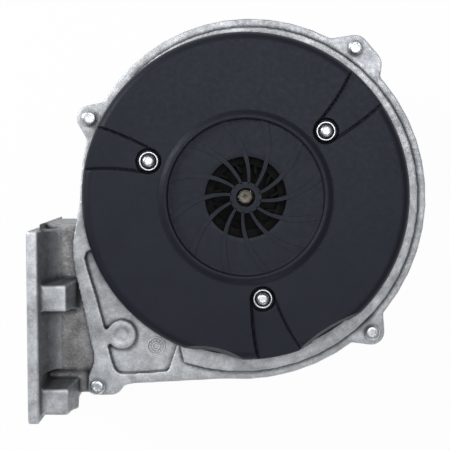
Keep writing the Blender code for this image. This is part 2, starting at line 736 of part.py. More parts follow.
def intake_groove(tools):
    inner = INTAKE_BORE_RADIUS + INTAKE_SEAL_OUTSIDE
    return ring("intake_groove", inner - GAP, inner + SEAL_CORD + GAP, -CUT, SEAL_CORD + 0.2,
                tools, 40)


def intake_seal(parts):
    inner = INTAKE_BORE_RADIUS + INTAKE_SEAL_OUTSIDE
    return ring("intake_seal", inner, inner + SEAL_CORD, 0.1, SEAL_CORD - 0.1, parts, 40)


def seam_groove(tools):
    """Step along the cavity's edge that holds the seal between the castings."""
    return outline_solid("seam_groove", [cavity_outline(1.8)], SEAM_Z - 2.0, SEAM_Z + CUT,
                         tools)


def casing_seal(parts):
    return outline_solid("casing_seal", [cavity_outline(1.5), cavity_outline(0.2)],
                         SEAM_Z - 1.7, SEAM_Z - 0.3, parts)


def motor_side_casing(parts, tools):
    """Lid of the scroll: flange band with screw lugs, motor well, platform, corner pocket."""
    body = outline_solid("motor_side_casing", [band_outline()], SEAM_Z, BAND_Z, parts)
    lugs = outline_solid("band_lugs", lug_outlines(), SEAM_Z, BAND_Z, tools)
    platform = outline_solid("platform", [platform_outline()], SEAM_Z + 1, PLATFORM_Z, tools)
    pocket_floor = BAND_Z - POCKET_DEPTH - POCKET_FLOOR
    belly = outline_solid("pocket_belly", [pocket_belly_outline()], pocket_floor, SEAM_Z + 1,
                          tools)
    hollow_radius = SCROLL_START_RADIUS - SPIGOT_WIDTH
    spigot = outline_solid("spigot", [cavity_outline(-GAP), circle(hollow_radius, 40)],
                           SEAM_Z - 4, SEAM_Z + 1, tools)
    well = turned_solid("motor_well", [
        (WELL_RADIUS + CAST_WALL, BAND_Z), (WELL_RADIUS + CAST_WALL, WELL_FLOOR_Z + 1),
        (WELL_RADIUS + CAST_WALL - 3, WELL_FLOOR_Z - 3), (0, WELL_FLOOR_Z - 3), (0, BAND_Z)],
        tools, 40)
    posts = [rod(f"cover_post_{i}", POST_RADIUS, PLATFORM_Z - 1, cover_pocket_floor() - COVER_WALL - GAP,
                 tools, 12, polar(COVER_SCREW_RADIUS, a))
             for i, a in enumerate(COVER_SCREW_ANGLES)]
    combine(body, "UNION", [lugs, platform, belly, spigot, well, *posts])
    hollow = ring("platform_hollow", WELL_RADIUS + CAST_WALL + 2, hollow_radius, SEAM_Z - 5,
                  PLATFORM_Z - CAST_WALL, tools, 40)
    cup = rod("well_cup", WELL_RADIUS, WELL_FLOOR_Z, PLATFORM_Z + CUT, tools, 40)
    pocket = outline_solid("corner_pocket", [corner_pocket_outline()], BAND_Z - POCKET_DEPTH,
                           PLATFORM_Z + CUT, tools)
    bore = rod("tube_bore", TUBE_RADIUS + GAP, WELL_FLOOR_Z - 4, WELL_FLOOR_Z + CUT, tools, 28)
    screws = [rod(f"band_screw_hole_{i}", M5["thread"] + GAP, SEAM_Z - 5, BAND_Z + CUT, tools,
                  10, centre) for i, centre in enumerate(casing_screw_places())]
    taps = [rod(f"post_hole_{i}", M4["thread"] + GAP, PLATFORM_Z + 1, LIP_Z, tools, 10,
                polar(COVER_SCREW_RADIUS, a)) for i, a in enumerate(COVER_SCREW_ANGLES)]
    combine(body, "DIFFERENCE", [hollow, cup, pocket, bore])
    boss = rod("pocket_boss", POCKET_BOSS_RADIUS, BAND_Z - POCKET_DEPTH - 1, BAND_Z - 0.2, tools,
               24, pocket_boss_place())
    combine(body, "UNION", [boss])
    dimple = rod("boss_dimple", BOSS_DIMPLE_RADIUS, BAND_Z - 0.8, BAND_Z + CUT, tools, 16,
                 pocket_boss_place())
    return combine(body, "DIFFERENCE", [*screws, *taps, dimple])


# ================================================================ motor cover
def cover_pocket_floor():
    return COVER_Z - COVER_POCKET_DEPTH


def motor_cover(parts, tools):
    """Plastic hood with a lip around the swirled grille, screw channels and two scoops."""
    edge = []
    for x, y in arc(COVER_EDGE_ROUND, 90, 12, 3):
        edge.append((COVER_RADIUS - COVER_DRAFT - COVER_EDGE_ROUND + x,
                     COVER_Z - COVER_EDGE_ROUND + y))
    recess = COVER_Z - RECESS_DEPTH
    inside = COVER_WALL
    profile = [
        (OPENING_RADIUS, recess), (RECESS_RADIUS, recess), (RECESS_RADIUS + 0.5, LIP_Z - 0.6),
        (LIP_CREST_RADIUS - 0.3, LIP_Z), (LIP_CREST_RADIUS + 0.6, LIP_Z - 0.1),
        (LIP_FOOT_RADIUS, COVER_Z), *edge,
        (COVER_RADIUS, COVER_FOOT_Z), (COVER_RADIUS - inside, COVER_FOOT_Z),
        (COVER_RADIUS - inside - COVER_DRAFT, COVER_Z - COVER_EDGE_ROUND - 1),
        (COVER_RADIUS - inside - COVER_DRAFT - 3, COVER_Z - inside),
        (LIP_FOOT_RADIUS, COVER_Z - inside), (RECESS_RADIUS, recess - GRILLE_THICKNESS),
        (OPENING_RADIUS, recess - GRILLE_THICKNESS)]
    body = turned_solid("motor_cover", profile, parts, 48, True)
    pads = outline_solid("channel_pads", [turned_about(channel_outline(2.0), a)
                                          for a in COVER_SCREW_ANGLES],
                         COVER_Z - CHANNEL_DEPTH - COVER_WALL, COVER_Z - 1, tools)
    cups = [rod(f"pocket_cup_{i}", POCKET_RADIUS + 2, cover_pocket_floor() - COVER_WALL,
                COVER_Z - 1.2, tools, 16, polar(COVER_SCREW_RADIUS, a))
            for i, a in enumerate(COVER_SCREW_ANGLES)]
    ribs = outline_solid("grille_ribs", [turned_about(rib_outline(HUB_RADIUS - 1.2,
                                                                  RECESS_RADIUS - 0.9),
                                                      i * 360 / RIBS) for i in range(RIBS)],
                         recess - GRILLE_THICKNESS + 0.4, recess + RIB_RELIEF, tools)
    hub = ring("grille_hub", HUB_HOLE_RADIUS, HUB_RADIUS, recess - GRILLE_THICKNESS + 0.2,
               recess + RIB_RELIEF + 0.3, tools, 24)
    combine(body, "UNION", [pads, *cups, ribs, hub])
    channels = outline_solid("channels", [turned_about(channel_outline(), a)
                                          for a in COVER_SCREW_ANGLES],
                             COVER_Z - CHANNEL_DEPTH, LIP_Z + CUT, tools)
    pockets = [rod(f"screw_pocket_{i}", POCKET_RADIUS - 0.4, cover_pocket_floor(), LIP_Z + CUT,
                   tools, 16, polar(COVER_SCREW_RADIUS, a))
               for i, a in enumerate(COVER_SCREW_ANGLES)]
    holes = [rod(f"cover_hole_{i}", M4["thread"] + 0.6, SEAM_Z, LIP_Z, tools, 10,
                 polar(COVER_SCREW_RADIUS, a)) for i, a in enumerate(COVER_SCREW_ANGLES)]
    return combine(body, "DIFFERENCE", [channels, *pockets, *holes, *scallops(tools),
                                        *socket_windows(tools)])


def scallops(tools):
    """Scoops in the cover's edge above the two sockets, sloping outwards as they go down."""
    made = []
    for index, (angle, radius) in enumerate(SCALLOP_ANGLES):
        reach = COVER_RADIUS - COVER_DRAFT - SCALLOP_INSET + radius
        centre = polar(reach, angle)
        low = COVER_Z - SCALLOP_DEPTH
        slope = SCALLOP_SLOPE * (LIP_Z + 2 - low) / SCALLOP_DEPTH
        profile = [(0, LIP_Z + 2), (radius + slope - SCALLOP_SLOPE, LIP_Z + 2),
                   (radius - SCALLOP_SLOPE, low), (0, low)]
        made.append(turned_solid(f"scallop_{index}", profile, tools, 72, False, centre))
    return made


# ================================================================ sockets in the cover's side
SOCKETS = (
    {"name": "mains_socket", "angle": SCALLOP_ANGLES[1][0], "width": 24.0, "height": 13.0,
     "pins": 3, "pitch": 6.4, "pin": 1.2},
    {"name": "signal_socket", "angle": SCALLOP_ANGLES[0][0], "width": 19.0, "height": 9.0,
     "pins": 4, "pitch": 3.6, "pin": 0.8},
)
SOCKET_DEPTH = 17.5
SOCKET_WALL = 1.3
SOCKET_INSET = 4.5
SOCKET_CLEARANCE = 0.4
PIN_RECESS = 8.5


def socket_ends():
    outer = COVER_RADIUS - SOCKET_INSET
    return outer - SOCKET_DEPTH, outer


def socket_base():
    return BOARD_Z + BOARD + GAP


def turned_box(name, low, high, angle, collection):
    """A box drawn pointing along +X, turned about the impeller's axis."""
    obj = box(name, low, high, collection)
    obj.data.transform(Matrix.Rotation(radians(angle), 4, "Z"))
    return obj


def socket_windows(tools):
    windows = []
    for socket in SOCKETS:
        half = socket["width"] / 2 + SOCKET_CLEARANCE
        low = socket_base()
        windows.append(turned_box(socket["name"] + "_window",
                                  (COVER_RADIUS - 12, -half, low - SOCKET_CLEARANCE),
                                  (COVER_RADIUS + 4, half,
                                   low + socket["height"] + SOCKET_CLEARANCE),
                                  socket["angle"], tools))
    return windows


def socket_body(socket, parts, tools):
    inner, outer = socket_ends()
    half, low = socket["width"] / 2, socket_base()
    high = low + socket["height"]
    body = turned_box(socket["name"], (inner, -half, low), (outer, half, high),
                      socket["angle"], parts)
    w = SOCKET_WALL
    cavity = turned_box(socket["name"] + "_cavity", (inner + 5, -half + w, low + w),
                        (outer + CUT, half - w, high - w), socket["angle"], tools)
    return combine(body, "DIFFERENCE", [cavity, *pin_slots(socket, tools)])


def pin_places(socket):
    spread = (socket["pins"] - 1) / 2
    return [(index - spread) * socket["pitch"] for index in range(socket["pins"])]


def pin_slots(socket, tools):
    inner, _ = socket_ends()
    half = socket["pin"] / 2 + GAP
    middle = socket_base() + socket["height"] / 2
    return [turned_box(f"{socket['name']}_slot_{i}", (inner - CUT, y - half, middle - half),
                       (inner + 6, y + half, middle + half), socket["angle"], tools)
            for i, y in enumerate(pin_places(socket))]


def socket_pins(socket, parts):
    inner, outer = socket_ends()
    half = socket["pin"] / 2
    middle = socket_base() + socket["height"] / 2
    return [turned_box(f"{socket['name']}_pin_{i + 1}", (inner - 2.5, y - half, middle - half),
                       (outer - PIN_RECESS, y + half, middle + half), socket["angle"], parts)
            for i, y in enumerate(pin_places(socket))]


# ================================================================ fasteners
def drive_outline(radius, centre):
    """Six-lobed driver recess."""
    points = []
    for step in range(12):
        wave = 0.14 * cos(radians(6 * step * 30))
        x, y = polar(radius * (0.86 + wave), step * 30)
        points.append((centre[0] + x, centre[1] + y))
    return points


def pan_screw(name, size, centre, seat, length, parts, tools):
    head, top = size["head"], seat + size["height"]
    profile = [(0, top), (head - 1.2, top), (head - 0.35, top - 0.45), (head, top - 1.4),
               (head, seat), (size["thread"], seat), (size["thread"], seat - length + 0.6),
               (size["thread"] - 0.6, seat - length), (0, seat - length)]
    screw = turned_solid(name, profile, parts, 12, False, centre)
    recess = outline_solid(name + "_drive", [drive_outline(size["drive"], centre)], top - 1.8,
                           top + CUT, tools)
    return combine(screw, "DIFFERENCE", [recess])


def casing_screws(parts, tools):
    return [pan_screw(f"casing_screw_{i + 1}", M5, centre, BAND_Z + GAP, 16.0, parts, tools)
            for i, centre in enumerate(casing_screw_places())]


def cover_fixings(parts, tools):
    """For each cover screw: steel ring, rubber grommet inside it, and the screw."""
    steel, rubber, screws = [], [], []
    floor = cover_pocket_floor() + GAP
    for index, angle in enumerate(COVER_SCREW_ANGLES):
        centre = polar(COVER_SCREW_RADIUS, angle)
        steel.append(ring(f"cover_ring_{index + 1}", RING_INNER, RING_OUTER, floor,
                          floor + RING_HEIGHT, parts, 20, centre))
        rubber.append(ring(f"cover_grommet_{index + 1}", M4["thread"] + GAP,
                           RING_INNER - GAP, floor, floor + RING_HEIGHT - 0.6, parts, 16,
                           centre))
        screws.append(pan_screw(f"cover_screw_{index + 1}", M4, centre,
                                floor + RING_HEIGHT - 0.6 + GAP, 16.0, parts, tools))
    return steel, rubber, screws


# ================================================================ rotor
def blade_outline(inner, outer, lean, width, steps=5):
    """One blade in plan, trailing counter-clockwise from the eye to the rim."""
    sides = [[], []]
    for step in range(steps + 1):
        t = step / steps
        radius = inner + (outer - inner) * t
        angle = lean * t ** 0.85
        spread = width / 2 / radius * 180 / pi * 1.3
        sides[0].append(polar(radius, angle - spread))
        sides[1].append(polar(radius, angle + spread))
    return sides[0] + sides[1][::-1]


def shroud_z(radius):
    """Height of the shroud's inner side, which falls from the rim to the eye."""
    rim = WHEEL_PLATE_Z - WHEEL_OUTLET_WIDTH
    t = (WHEEL_RADIUS - radius) / (WHEEL_RADIUS - WHEEL_EYE_RADIUS)
    return rim - (rim - WHEEL_INLET_Z - 1.2) * t


def impeller_wheel(parts, tools):
    """Back plate, hub and backward-leaning blades, moulded in one piece."""
    hub = BUSH_RADIUS + 3.2
    profile = [(WHEEL_RADIUS, WHEEL_PLATE_Z + WHEEL_PLATE), (WHEEL_RADIUS, WHEEL_PLATE_Z),
               (hub + 9, WHEEL_PLATE_Z), (hub, WHEEL_PLATE_Z - 8), (hub, SHAFT_LOW_Z + 5),
               (BUSH_RADIUS + GAP, SHAFT_LOW_Z + 5),
               (BUSH_RADIUS + GAP, WHEEL_PLATE_Z + WHEEL_PLATE)]
    wheel = turned_solid("impeller_wheel", profile, parts, 36, True)
    blades = outline_solid("impeller_blades", [
        turned_about(blade_outline(WHEEL_EYE_RADIUS - 4, WHEEL_RADIUS - 0.8, BLADE_LEAN,
                                   BLADE_WIDTH), i * 360 / WHEEL_BLADES)
        for i in range(WHEEL_BLADES)], SHAFT_LOW_Z, WHEEL_PLATE_Z + 0.6, tools)
    for vertex in blades.data.vertices:
        if vertex.co.z < WHEEL_PLATE_Z * MM:
            radius = hypot(vertex.co.x, vertex.co.y) / MM
            vertex.co.z = (shroud_z(max(radius, WHEEL_EYE_RADIUS)) + GAP) * MM
    return combine(wheel, "UNION", [blades])


def impeller_shroud(parts):
    wall = 1.4
    eye, rim = WHEEL_EYE_RADIUS, WHEEL_RADIUS
    profile = [(rim, shroud_z(rim)), (rim, shroud_z(rim) - wall),
               (eye + 3, shroud_z(eye + 3) - wall), (eye + wall, WHEEL_INLET_Z - 3),
               (eye, WHEEL_INLET_Z - 3), (eye, shroud_z(eye))]
    return turned_solid("impeller_shroud", profile, parts, 36, True)


def intake_nozzle(parts):
    """Flared ring in the intake that ends just inside the shroud's eye."""
    throat, bore = NOZZLE_THROAT_RADIUS, INTAKE_BORE_RADIUS - GAP
    high = WHEEL_INLET_Z + 1.0
    low = INTAKE_HEIGHT - 4.0
    profile = [(throat + 1.4, high), (throat + 1.4, low + 8), (bore - 2.5, low + 3.5),
               (bore, low + 3.5), (bore, low), (bore - 3.5, low), (throat + 3, low + 4.5),
               (throat, low + 10), (throat, high)]
    return turned_solid("intake_nozzle", profile, parts, 30, True)


def shaft(parts):
    radius = SHAFT_RADIUS
    profile = [(0, SHAFT_HIGH_Z - 1.2), (1.2, SHAFT_HIGH_Z), (radius - 0.4, SHAFT_HIGH_Z),
               (radius, SHAFT_HIGH_Z - 0.6), (radius, SHAFT_LOW_Z + 0.6),
               (radius - 0.6, SHAFT_LOW_Z), (0, SHAFT_LOW_Z)]
    return turned_solid("shaft", profile, parts, 16)


def rotor_pieces(parts):
    """Everything that turns with the shaft, apart from the wheel and its shroud."""
    bore = SHAFT_RADIUS + GAP
    bush = ring("impeller_bush", bore, BUSH_RADIUS, SHAFT_LOW_Z + 6,
                WHEEL_PLATE_Z + WHEEL_PLATE - 0.6, parts, 20)
    retainer = ring("impeller_retainer", bore, 9.6, SHAFT_LOW_Z + 5 - 1.0 - GAP,
                    SHAFT_LOW_Z + 5 - GAP, parts, 20)
    can_inner = STATOR_RADIUS + AIR_GAP + MAGNET + GAP
    can = turned_solid("rotor_can", [
        (can_inner + CAN_WALL - 1.5, CAN_HIGH_Z), (can_inner + CAN_WALL, CAN_HIGH_Z - 1.5),
        (can_inner + CAN_WALL, CAN_LOW_Z), (can_inner, CAN_LOW_Z),
        (can_inner, CAN_HIGH_Z - CAN_WALL), (bore + 3.4, CAN_HIGH_Z - CAN_WALL),
        (bore + 3.4, CAN_HIGH_Z)], parts, 32, True)
    magnet = ring("rotor_magnet", STATOR_RADIUS + AIR_GAP, can_inner - GAP, CAN_LOW_Z + 0.8,
                  CAN_LOW_Z + 0.8 + MAGNET_HEIGHT, parts, 32)
    hub = turned_solid("rotor_hub", [
        (bore + 3.1, CAN_HIGH_Z + 0.1), (bore + 3.1, CAN_HIGH_Z - CAN_WALL - 0.3),
        (bore, CAN_HIGH_Z - CAN_WALL - 0.3), (bore, CAN_HIGH_Z + 0.1)], parts, 20, True)
    return [bush, retainer, can, magnet, hub]


def cooling_wheel(parts, tools):
    """Small fan on the rotor can that draws air in through the grille."""
    low = CAN_HIGH_Z + GAP
    bore = SHAFT_RADIUS + GAP
    plate = turned_solid("cooling_wheel", [
        (bore + 2.6, SHAFT_HIGH_Z - 0.6), (bore + 2.6, low + 1.4), (FAN_RADIUS, low + 1.4),
        (FAN_RADIUS, low), (bore, low), (bore, SHAFT_HIGH_Z - 0.6)], parts, 33, True)
    blades = outline_solid("cooling_blades", [
        turned_about(blade_outline(FAN_EYE_RADIUS - 5, FAN_RADIUS - 0.4, 30, 1.4, 3),
                     i * 360 / FAN_BLADES) for i in range(FAN_BLADES)],
        low + 0.7, FAN_HIGH_Z - 0.7, tools)
    inlet = ring("cooling_inlet", FAN_EYE_RADIUS, FAN_RADIUS, FAN_HIGH_Z - 1.4, FAN_HIGH_Z,
                 tools, 33)
    return combine(plate, "UNION", [blades, inlet])


def bearing(name, low, parts, tools):
    """Deep-groove ball bearing: inner ring, outer ring, and the balls in their cage."""
    high = low + BEARING_WIDTH
    middle = (low + high) / 2
    inner_land = BALL_PITCH - BALL_RADIUS - GAP
    outer_land = BALL_PITCH + BALL_RADIUS + GAP
    inner = ring(f"{name}_inner_ring", SHAFT_RADIUS + GAP, inner_land, low, high, parts, 16)
    outer = ring(f"{name}_outer_ring", outer_land, BEARING_OUTER, low, high, parts, 20)
    cage = ring(f"{name}_ball_cage", BALL_PITCH - 0.9, BALL_PITCH + 0.9, middle - 0.7,
                middle + 0.7, parts, 14)
    balls = []
    for index in range(BALLS):
        form = bmesh.new()
        bmesh.ops.create_uvsphere(form, u_segments=6, v_segments=4, radius=BALL_RADIUS * MM)
        x, y = polar(BALL_PITCH, index * 360 / BALLS)
        bmesh.ops.translate(form, verts=form.verts, vec=(x * MM, y * MM, middle * MM))
        mesh = bpy.data.meshes.new(f"{name}_ball_{index}")
        form.to_mesh(mesh)
        form.free()
        balls.append(place(mesh.name, mesh, tools))
    combine(cage, "UNION", balls)
    return inner, outer, cage


# ================================================================ motor, fixed parts
def bearing_tube(parts):
    """Steel tube in the well's floor that carries both bearings and the stator."""
    inner = BEARING_OUTER + GAP
    low, high = WELL_FLOOR_Z - 3.6, UPPER_BEARING_Z + BEARING_WIDTH
    profile = [(TUBE_RADIUS, high), (TUBE_RADIUS, low), (SHAFT_RADIUS + 2.5, low),
               (SHAFT_RADIUS + 2.5, low + 1.3), (inner, low + 1.3), (inner, high)]
    return turned_solid("bearing_tube", profile, parts, 28, True)


def tooth_outline(radius_root, radius_tip, neck, tip_angle):
    points = []
    for index in range(STATOR_TEETH):
        turn = index * 360 / STATOR_TEETH
        gap = 180 / STATOR_TEETH - 5
        tip = arc(radius_tip, -tip_angle, tip_angle, 4)
        shoe = [polar(radius_tip - 2.2, -tip_angle), (radius_tip - 4.2, -neck)]
        tooth = [(radius_root, -neck), *shoe[::-1], *tip, polar(radius_tip - 2.2, tip_angle),
                 (radius_tip - 4.2, neck), (radius_root, neck)]
        points += turned_about(tooth, turn)
        points += turned_about(arc(radius_root, gap + 2, gap + 8, 1), turn)
    return points


def stator_pieces(parts, tools):
    """Laminated stack on the bearing tube, plastic end caps, and the windings."""
    bore = circle(TUBE_RADIUS + GAP, 28)
    low, high = STATOR_Z, STATOR_Z + STATOR_HEIGHT
    stack = outline_solid("stator_stack", [tooth_outline(18.0, STATOR_RADIUS, 3.0, 24.0), bore],
                          low, high, parts)
    caps = []
    for name, a, b in (("stator_cap_lower", low - 1.5 - GAP, low - GAP),
                       ("stator_cap_upper", high + GAP, high + 1.5 + GAP)):
        caps.append(outline_solid(name, [tooth_outline(17.8, STATOR_RADIUS - 0.6, 3.0, 22.0),
                                         bore], a, b, parts))
    bottom, top = low - 1.5 - 2 * GAP, high + 1.5 + 2 * GAP
    winding = ring("stator_winding", 19.4, 21.6, bottom - 1.6, bottom - 0.2, parts, 24)
    coils, cores = [], []
    for index in range(STATOR_TEETH):
        turn = index * 360 / STATOR_TEETH
        coils.append(turned_box(f"coil_{index}", (19.8, -6.2, bottom - 2.0),
                                (26.6, 6.2, top + 2.0), turn, tools))
        cores.append(turned_box(f"coil_core_{index}", (19, -3.3, bottom), (28, 3.3, top), turn,
                                tools))
    combine(winding, "UNION", coils)
    combine(winding, "DIFFERENCE", cores)
    spring = ring("wave_spring", SHAFT_RADIUS + 4.2, BEARING_OUTER - 0.2,
                  LOWER_BEARING_Z + BEARING_WIDTH + GAP, UPPER_BEARING_Z - GAP, parts, 20)
    return [stack, *caps, winding, spring]


# ================================================================ electronics
def circuit_board(parts):
    holes = [circle(6.2, 14, polar(COVER_SCREW_RADIUS, a)) for a in COVER_SCREW_ANGLES]
    return outline_solid("circuit_board", [circle(BOARD_OUTER, 44), circle(BOARD_INNER, 32),
                                           *holes], BOARD_Z, BOARD_Z + BOARD, parts)


def board_spacer(parts):
    """Ring between the casting's platform and the board."""
    past_posts = COVER_SCREW_RADIUS + POST_RADIUS + POST_CLEARANCE
    inner = max(BOARD_OUTER - SPACER_INSIDE, past_posts)
    return ring("board_spacer", inner, inner + SPACER_WIDTH, PLATFORM_Z + GAP, BOARD_Z - GAP,
                parts, 32)


def components(parts):
    """Capacitors, choke, power module on its heat sink, and driver chip, on the board."""
    base = BOARD_Z + BOARD + GAP
    reach = BOARD_OUTER - 16.0
    apart = degrees(asin((CAPACITOR_RADIUS + CAPACITOR_GAP / 2) / reach))
    capacitors = [rod(f"bulk_capacitor_{i + 1}", CAPACITOR_RADIUS, base,
                      base + CAPACITOR_HEIGHT, parts, 18,
                      polar(reach, CAPACITOR_ANGLE + side * apart), chamfer=0.8)
                  for i, side in enumerate((-1, 1))]
    choke = ring("line_choke", 5.0, 10.5, base, base + 9.0, parts, 20,
                 polar(BOARD_OUTER - 18.0, -20.0), chamfer=1.2)
    sink = turned_box("heat_sink", (BOARD_OUTER - 13.5, -20.0, base),
                      (BOARD_OUTER - 10.0, 20.0, base + 15.0), 128.0, parts)
    module = turned_box("power_module", (BOARD_OUTER - 17.6, -15.0, base),
                        (BOARD_OUTER - 13.5 - GAP, 15.0, base + 9.0), 128.0, parts)
    driver = turned_box("motor_driver_chip", (BOARD_OUTER - 22.0, -6.0, base),
                        (BOARD_OUTER - 10.0, 6.0, base + 2.2), 15.0, parts)
    return [*capacitors, choke, sink, module, driver]


# ================================================================ assembly
def build():
    clear_scene()
    parts = new_collection(OBJECT_NAME)
    tools = new_collection(OBJECT_NAME + "_cutters", hidden=True)
    frame = bpy.data.objects.new("blower_frame", None)
    rotor = bpy.data.objects.new("rotor_axis", None)
    for empty in (frame, rotor):
        parts.objects.link(empty)
    rotor.parent = frame

    fixed = [("cast_aluminium", [scroll_casing(parts, tools), motor_side_casing(parts, tools)]),
             ("cover_plastic", [motor_cover(parts, tools)])]
    steel, rubber, cover_screws = cover_fixings(parts, tools)
    fixed.append(("zinc_steel", [*casing_screws(parts, tools), *cover_screws, *steel]))
    fixed.append(("black_rubber", [*rubber, casing_seal(parts), outlet_seal(parts),
                                   intake_seal(parts)]))
    fixed.append(("wheel_aluminium", [intake_nozzle(parts)]))
    stack, low_cap, high_cap, winding, spring = stator_pieces(parts, tools)
    fixed += [("lamination_steel", [stack]), ("white_plastic", [low_cap, high_cap]),
              ("copper_wire", [winding]), ("shaft_steel", [spring, bearing_tube(parts)])]
    fixed.append(("board_laminate", [circuit_board(parts)]))
    fixed.append(("fan_plastic", [board_spacer(parts)]))
    cap_a, cap_b, choke, sink, module, driver = components(parts)
    fixed += [("capacitor_sleeve", [cap_a, cap_b]), ("copper_wire", [choke]),
              ("wheel_aluminium", [sink]), ("fan_plastic", [module, driver])]
    for socket in SOCKETS:
        fixed.append(("fan_plastic", [socket_body(socket, parts, tools)]))
        fixed.append(("brass", socket_pins(socket, parts)))

    bush, retainer, can, magnet, hub = rotor_pieces(parts)
    turning = [("wheel_aluminium", [impeller_wheel(parts, tools), impeller_shroud(parts)]),
               ("shaft_steel", [shaft(parts)]), ("brass", [bush, hub]),
               ("zinc_steel", [retainer, can]), ("magnet_ferrite", [magnet]),
               ("fan_plastic", [cooling_wheel(parts, tools)])]
    for name, low in (("lower_bearing", LOWER_BEARING_Z), ("upper_bearing", UPPER_BEARING_Z)):
        inner, outer, cage = bearing(name, low, parts, tools)
        turning.append(("zinc_steel", [inner, cage]))
        fixed.append(("zinc_steel", [outer]))

    pieces = []
    for parent, groups in ((frame, fixed), (rotor, turning)):
        for look, objects in groups:
            pieces += [finish(obj, look, parent, parts) for obj in objects]
    centre_on_footprint(frame, pieces)


def centre_on_footprint(frame, pieces):
    """Moves the whole blower so that its origin is the middle of its footprint."""
    corners = [vertex.co for piece in pieces for vertex in piece.data.vertices]
    middle = [(min(c[axis] for c in corners) + max(c[axis] for c in corners)) / 2
              for axis in (0, 1)]
    frame.location = (-middle[0], -middle[1], 0)


build()
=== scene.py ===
"""Looks of a premix gas blower: a soft-edged die-cast scroll casing with its outlet flange, a
black moulded motor cover with a swirled grille, zinc-plated screws, rubber and steel trim.

Lengths are in millimetres about the impeller's axis and are turned into metres where meshes
are made.
"""

from math import cos, hypot, pi, radians, sin

import bmesh
import bpy
import numpy as np
from mathutils import Matrix, Vector


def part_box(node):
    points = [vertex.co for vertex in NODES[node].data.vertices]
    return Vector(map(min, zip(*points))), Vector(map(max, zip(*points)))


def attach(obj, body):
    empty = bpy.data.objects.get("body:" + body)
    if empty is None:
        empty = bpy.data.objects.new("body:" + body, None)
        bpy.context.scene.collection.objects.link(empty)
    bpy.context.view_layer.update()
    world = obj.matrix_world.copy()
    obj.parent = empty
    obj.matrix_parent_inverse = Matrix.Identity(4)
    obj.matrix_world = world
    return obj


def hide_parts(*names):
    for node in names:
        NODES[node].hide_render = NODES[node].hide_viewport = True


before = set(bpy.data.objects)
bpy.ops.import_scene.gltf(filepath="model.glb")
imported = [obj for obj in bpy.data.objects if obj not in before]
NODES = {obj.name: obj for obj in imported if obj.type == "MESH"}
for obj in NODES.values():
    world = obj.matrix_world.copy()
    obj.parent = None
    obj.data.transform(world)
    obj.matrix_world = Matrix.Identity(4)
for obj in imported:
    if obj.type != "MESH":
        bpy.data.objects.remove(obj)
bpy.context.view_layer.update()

MM = 0.001
WELD = 0.000004                # metres within which points are one
CAD_WELD = 0.000005            # the same for a mesh read from the CAD

# ---------------------------------------------------------------- places taken from the frame
SHAFT_LOW, SHAFT_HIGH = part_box("shaft")
AXIS_X = (SHAFT_LOW[0] + SHAFT_HIGH[0]) / 2 / MM
AXIS_Y = (SHAFT_LOW[1] + SHAFT_HIGH[1]) / 2 / MM
AXIS = Vector((AXIS_X, AXIS_Y, 0)) * MM
COVER_LOW, COVER_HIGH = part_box("motor_cover")
COVER_RADIUS = (COVER_HIGH[0] - COVER_LOW[0]) / 2 / MM
COVER_FOOT_Z = COVER_LOW[2] / MM
LIP_Z = COVER_HIGH[2] / MM
CASING_HEAD_HEIGHT = 3.6
BAND_THICKNESS = 4.0
BAND_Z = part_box("casing_screw_1")[1][2] / MM - CASING_HEAD_HEIGHT
SEAM_Z = BAND_Z - BAND_THICKNESS
FLANGE_FACE_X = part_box("scroll_casing")[0][0] / MM - AXIS_X
FLANGE_THICKNESS = 6.8
FLANGE_BACK_X = FLANGE_FACE_X + FLANGE_THICKNESS
FLANGE_TOP_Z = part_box("scroll_casing")[1][2] / MM
BOSS_BELOW_EDGE = 7.5
BOSS_TOP_Z = FLANGE_TOP_Z - BOSS_BELOW_EDGE
# each bolt boss's middle, and its sleeve's foot as (height, reach, half width)
BOSSES = ((-59.2, (SEAM_Z - 2.4, 18.6, 9.2)), (-120.2, (60.0, 15.0, 7.4)))
DUCT_SIDES = (-105.2, -20.0)
MOULD_MARK_PLACE = (-53.5, -90.9)
CORNER_POCKET_DEPTH = 2.6
MOULD_MARK_Z = BAND_Z - CORNER_POCKET_DEPTH

# ---------------------------------------------------------------- motor cover
LIP_RISE = 1.8
COVER_Z = LIP_Z - LIP_RISE
COVER_DRAFT = 1.2
COVER_EDGE_ROUND = 5.5
COVER_WALL = 2.4
LIP_CREST_RADIUS = 45.6
LIP_FOOT_RADIUS = 50.2
RECESS_RADIUS = 44.3
RECESS_DEPTH = 1.6
OPENING_RADIUS = 23.2
GRILLE_THICKNESS = 2.6
HUB_RADIUS = 8.9
HUB_HOLE_RADIUS = 5.4
RIBS = 12
RIB_START_ANGLE = 21.0
RIB_START_RADIUS = 11.3
RIB_SWEEP = 0.771
RIB_WIDTH = 1.64
RIB_WIDENING = 0.066
RIB_RELIEF = 0.35
COVER_SCREW_RADIUS = 59.0
COVER_SCREW_ANGLES = (39.6, 159.6, 279.6)
POCKET_RADIUS = 7.2
POCKET_DEPTH = 6.0
CHANNEL_DEPTH = 2.2
CHANNEL_END_RADIUS = 7.6
CHANNEL_WIDENING = (12.1, 1.6) # how far its two edges spread from the screw to the rim
CHANNEL_BOW = (-1.6, 0.9)      # how far those edges bow outwards half-way
SCALLOPS = ((-101.5, 50.0), (-57.9, 95.0))    # direction in degrees, and scoop radius
SCALLOP_REACH = (17, 21)       # degrees each side that need closer points
SCALLOP_INSET = 6.2
SCALLOP_DEPTH = 17.0
SCALLOP_SLOPE = 5.5

RECESS_Z = COVER_Z - RECESS_DEPTH

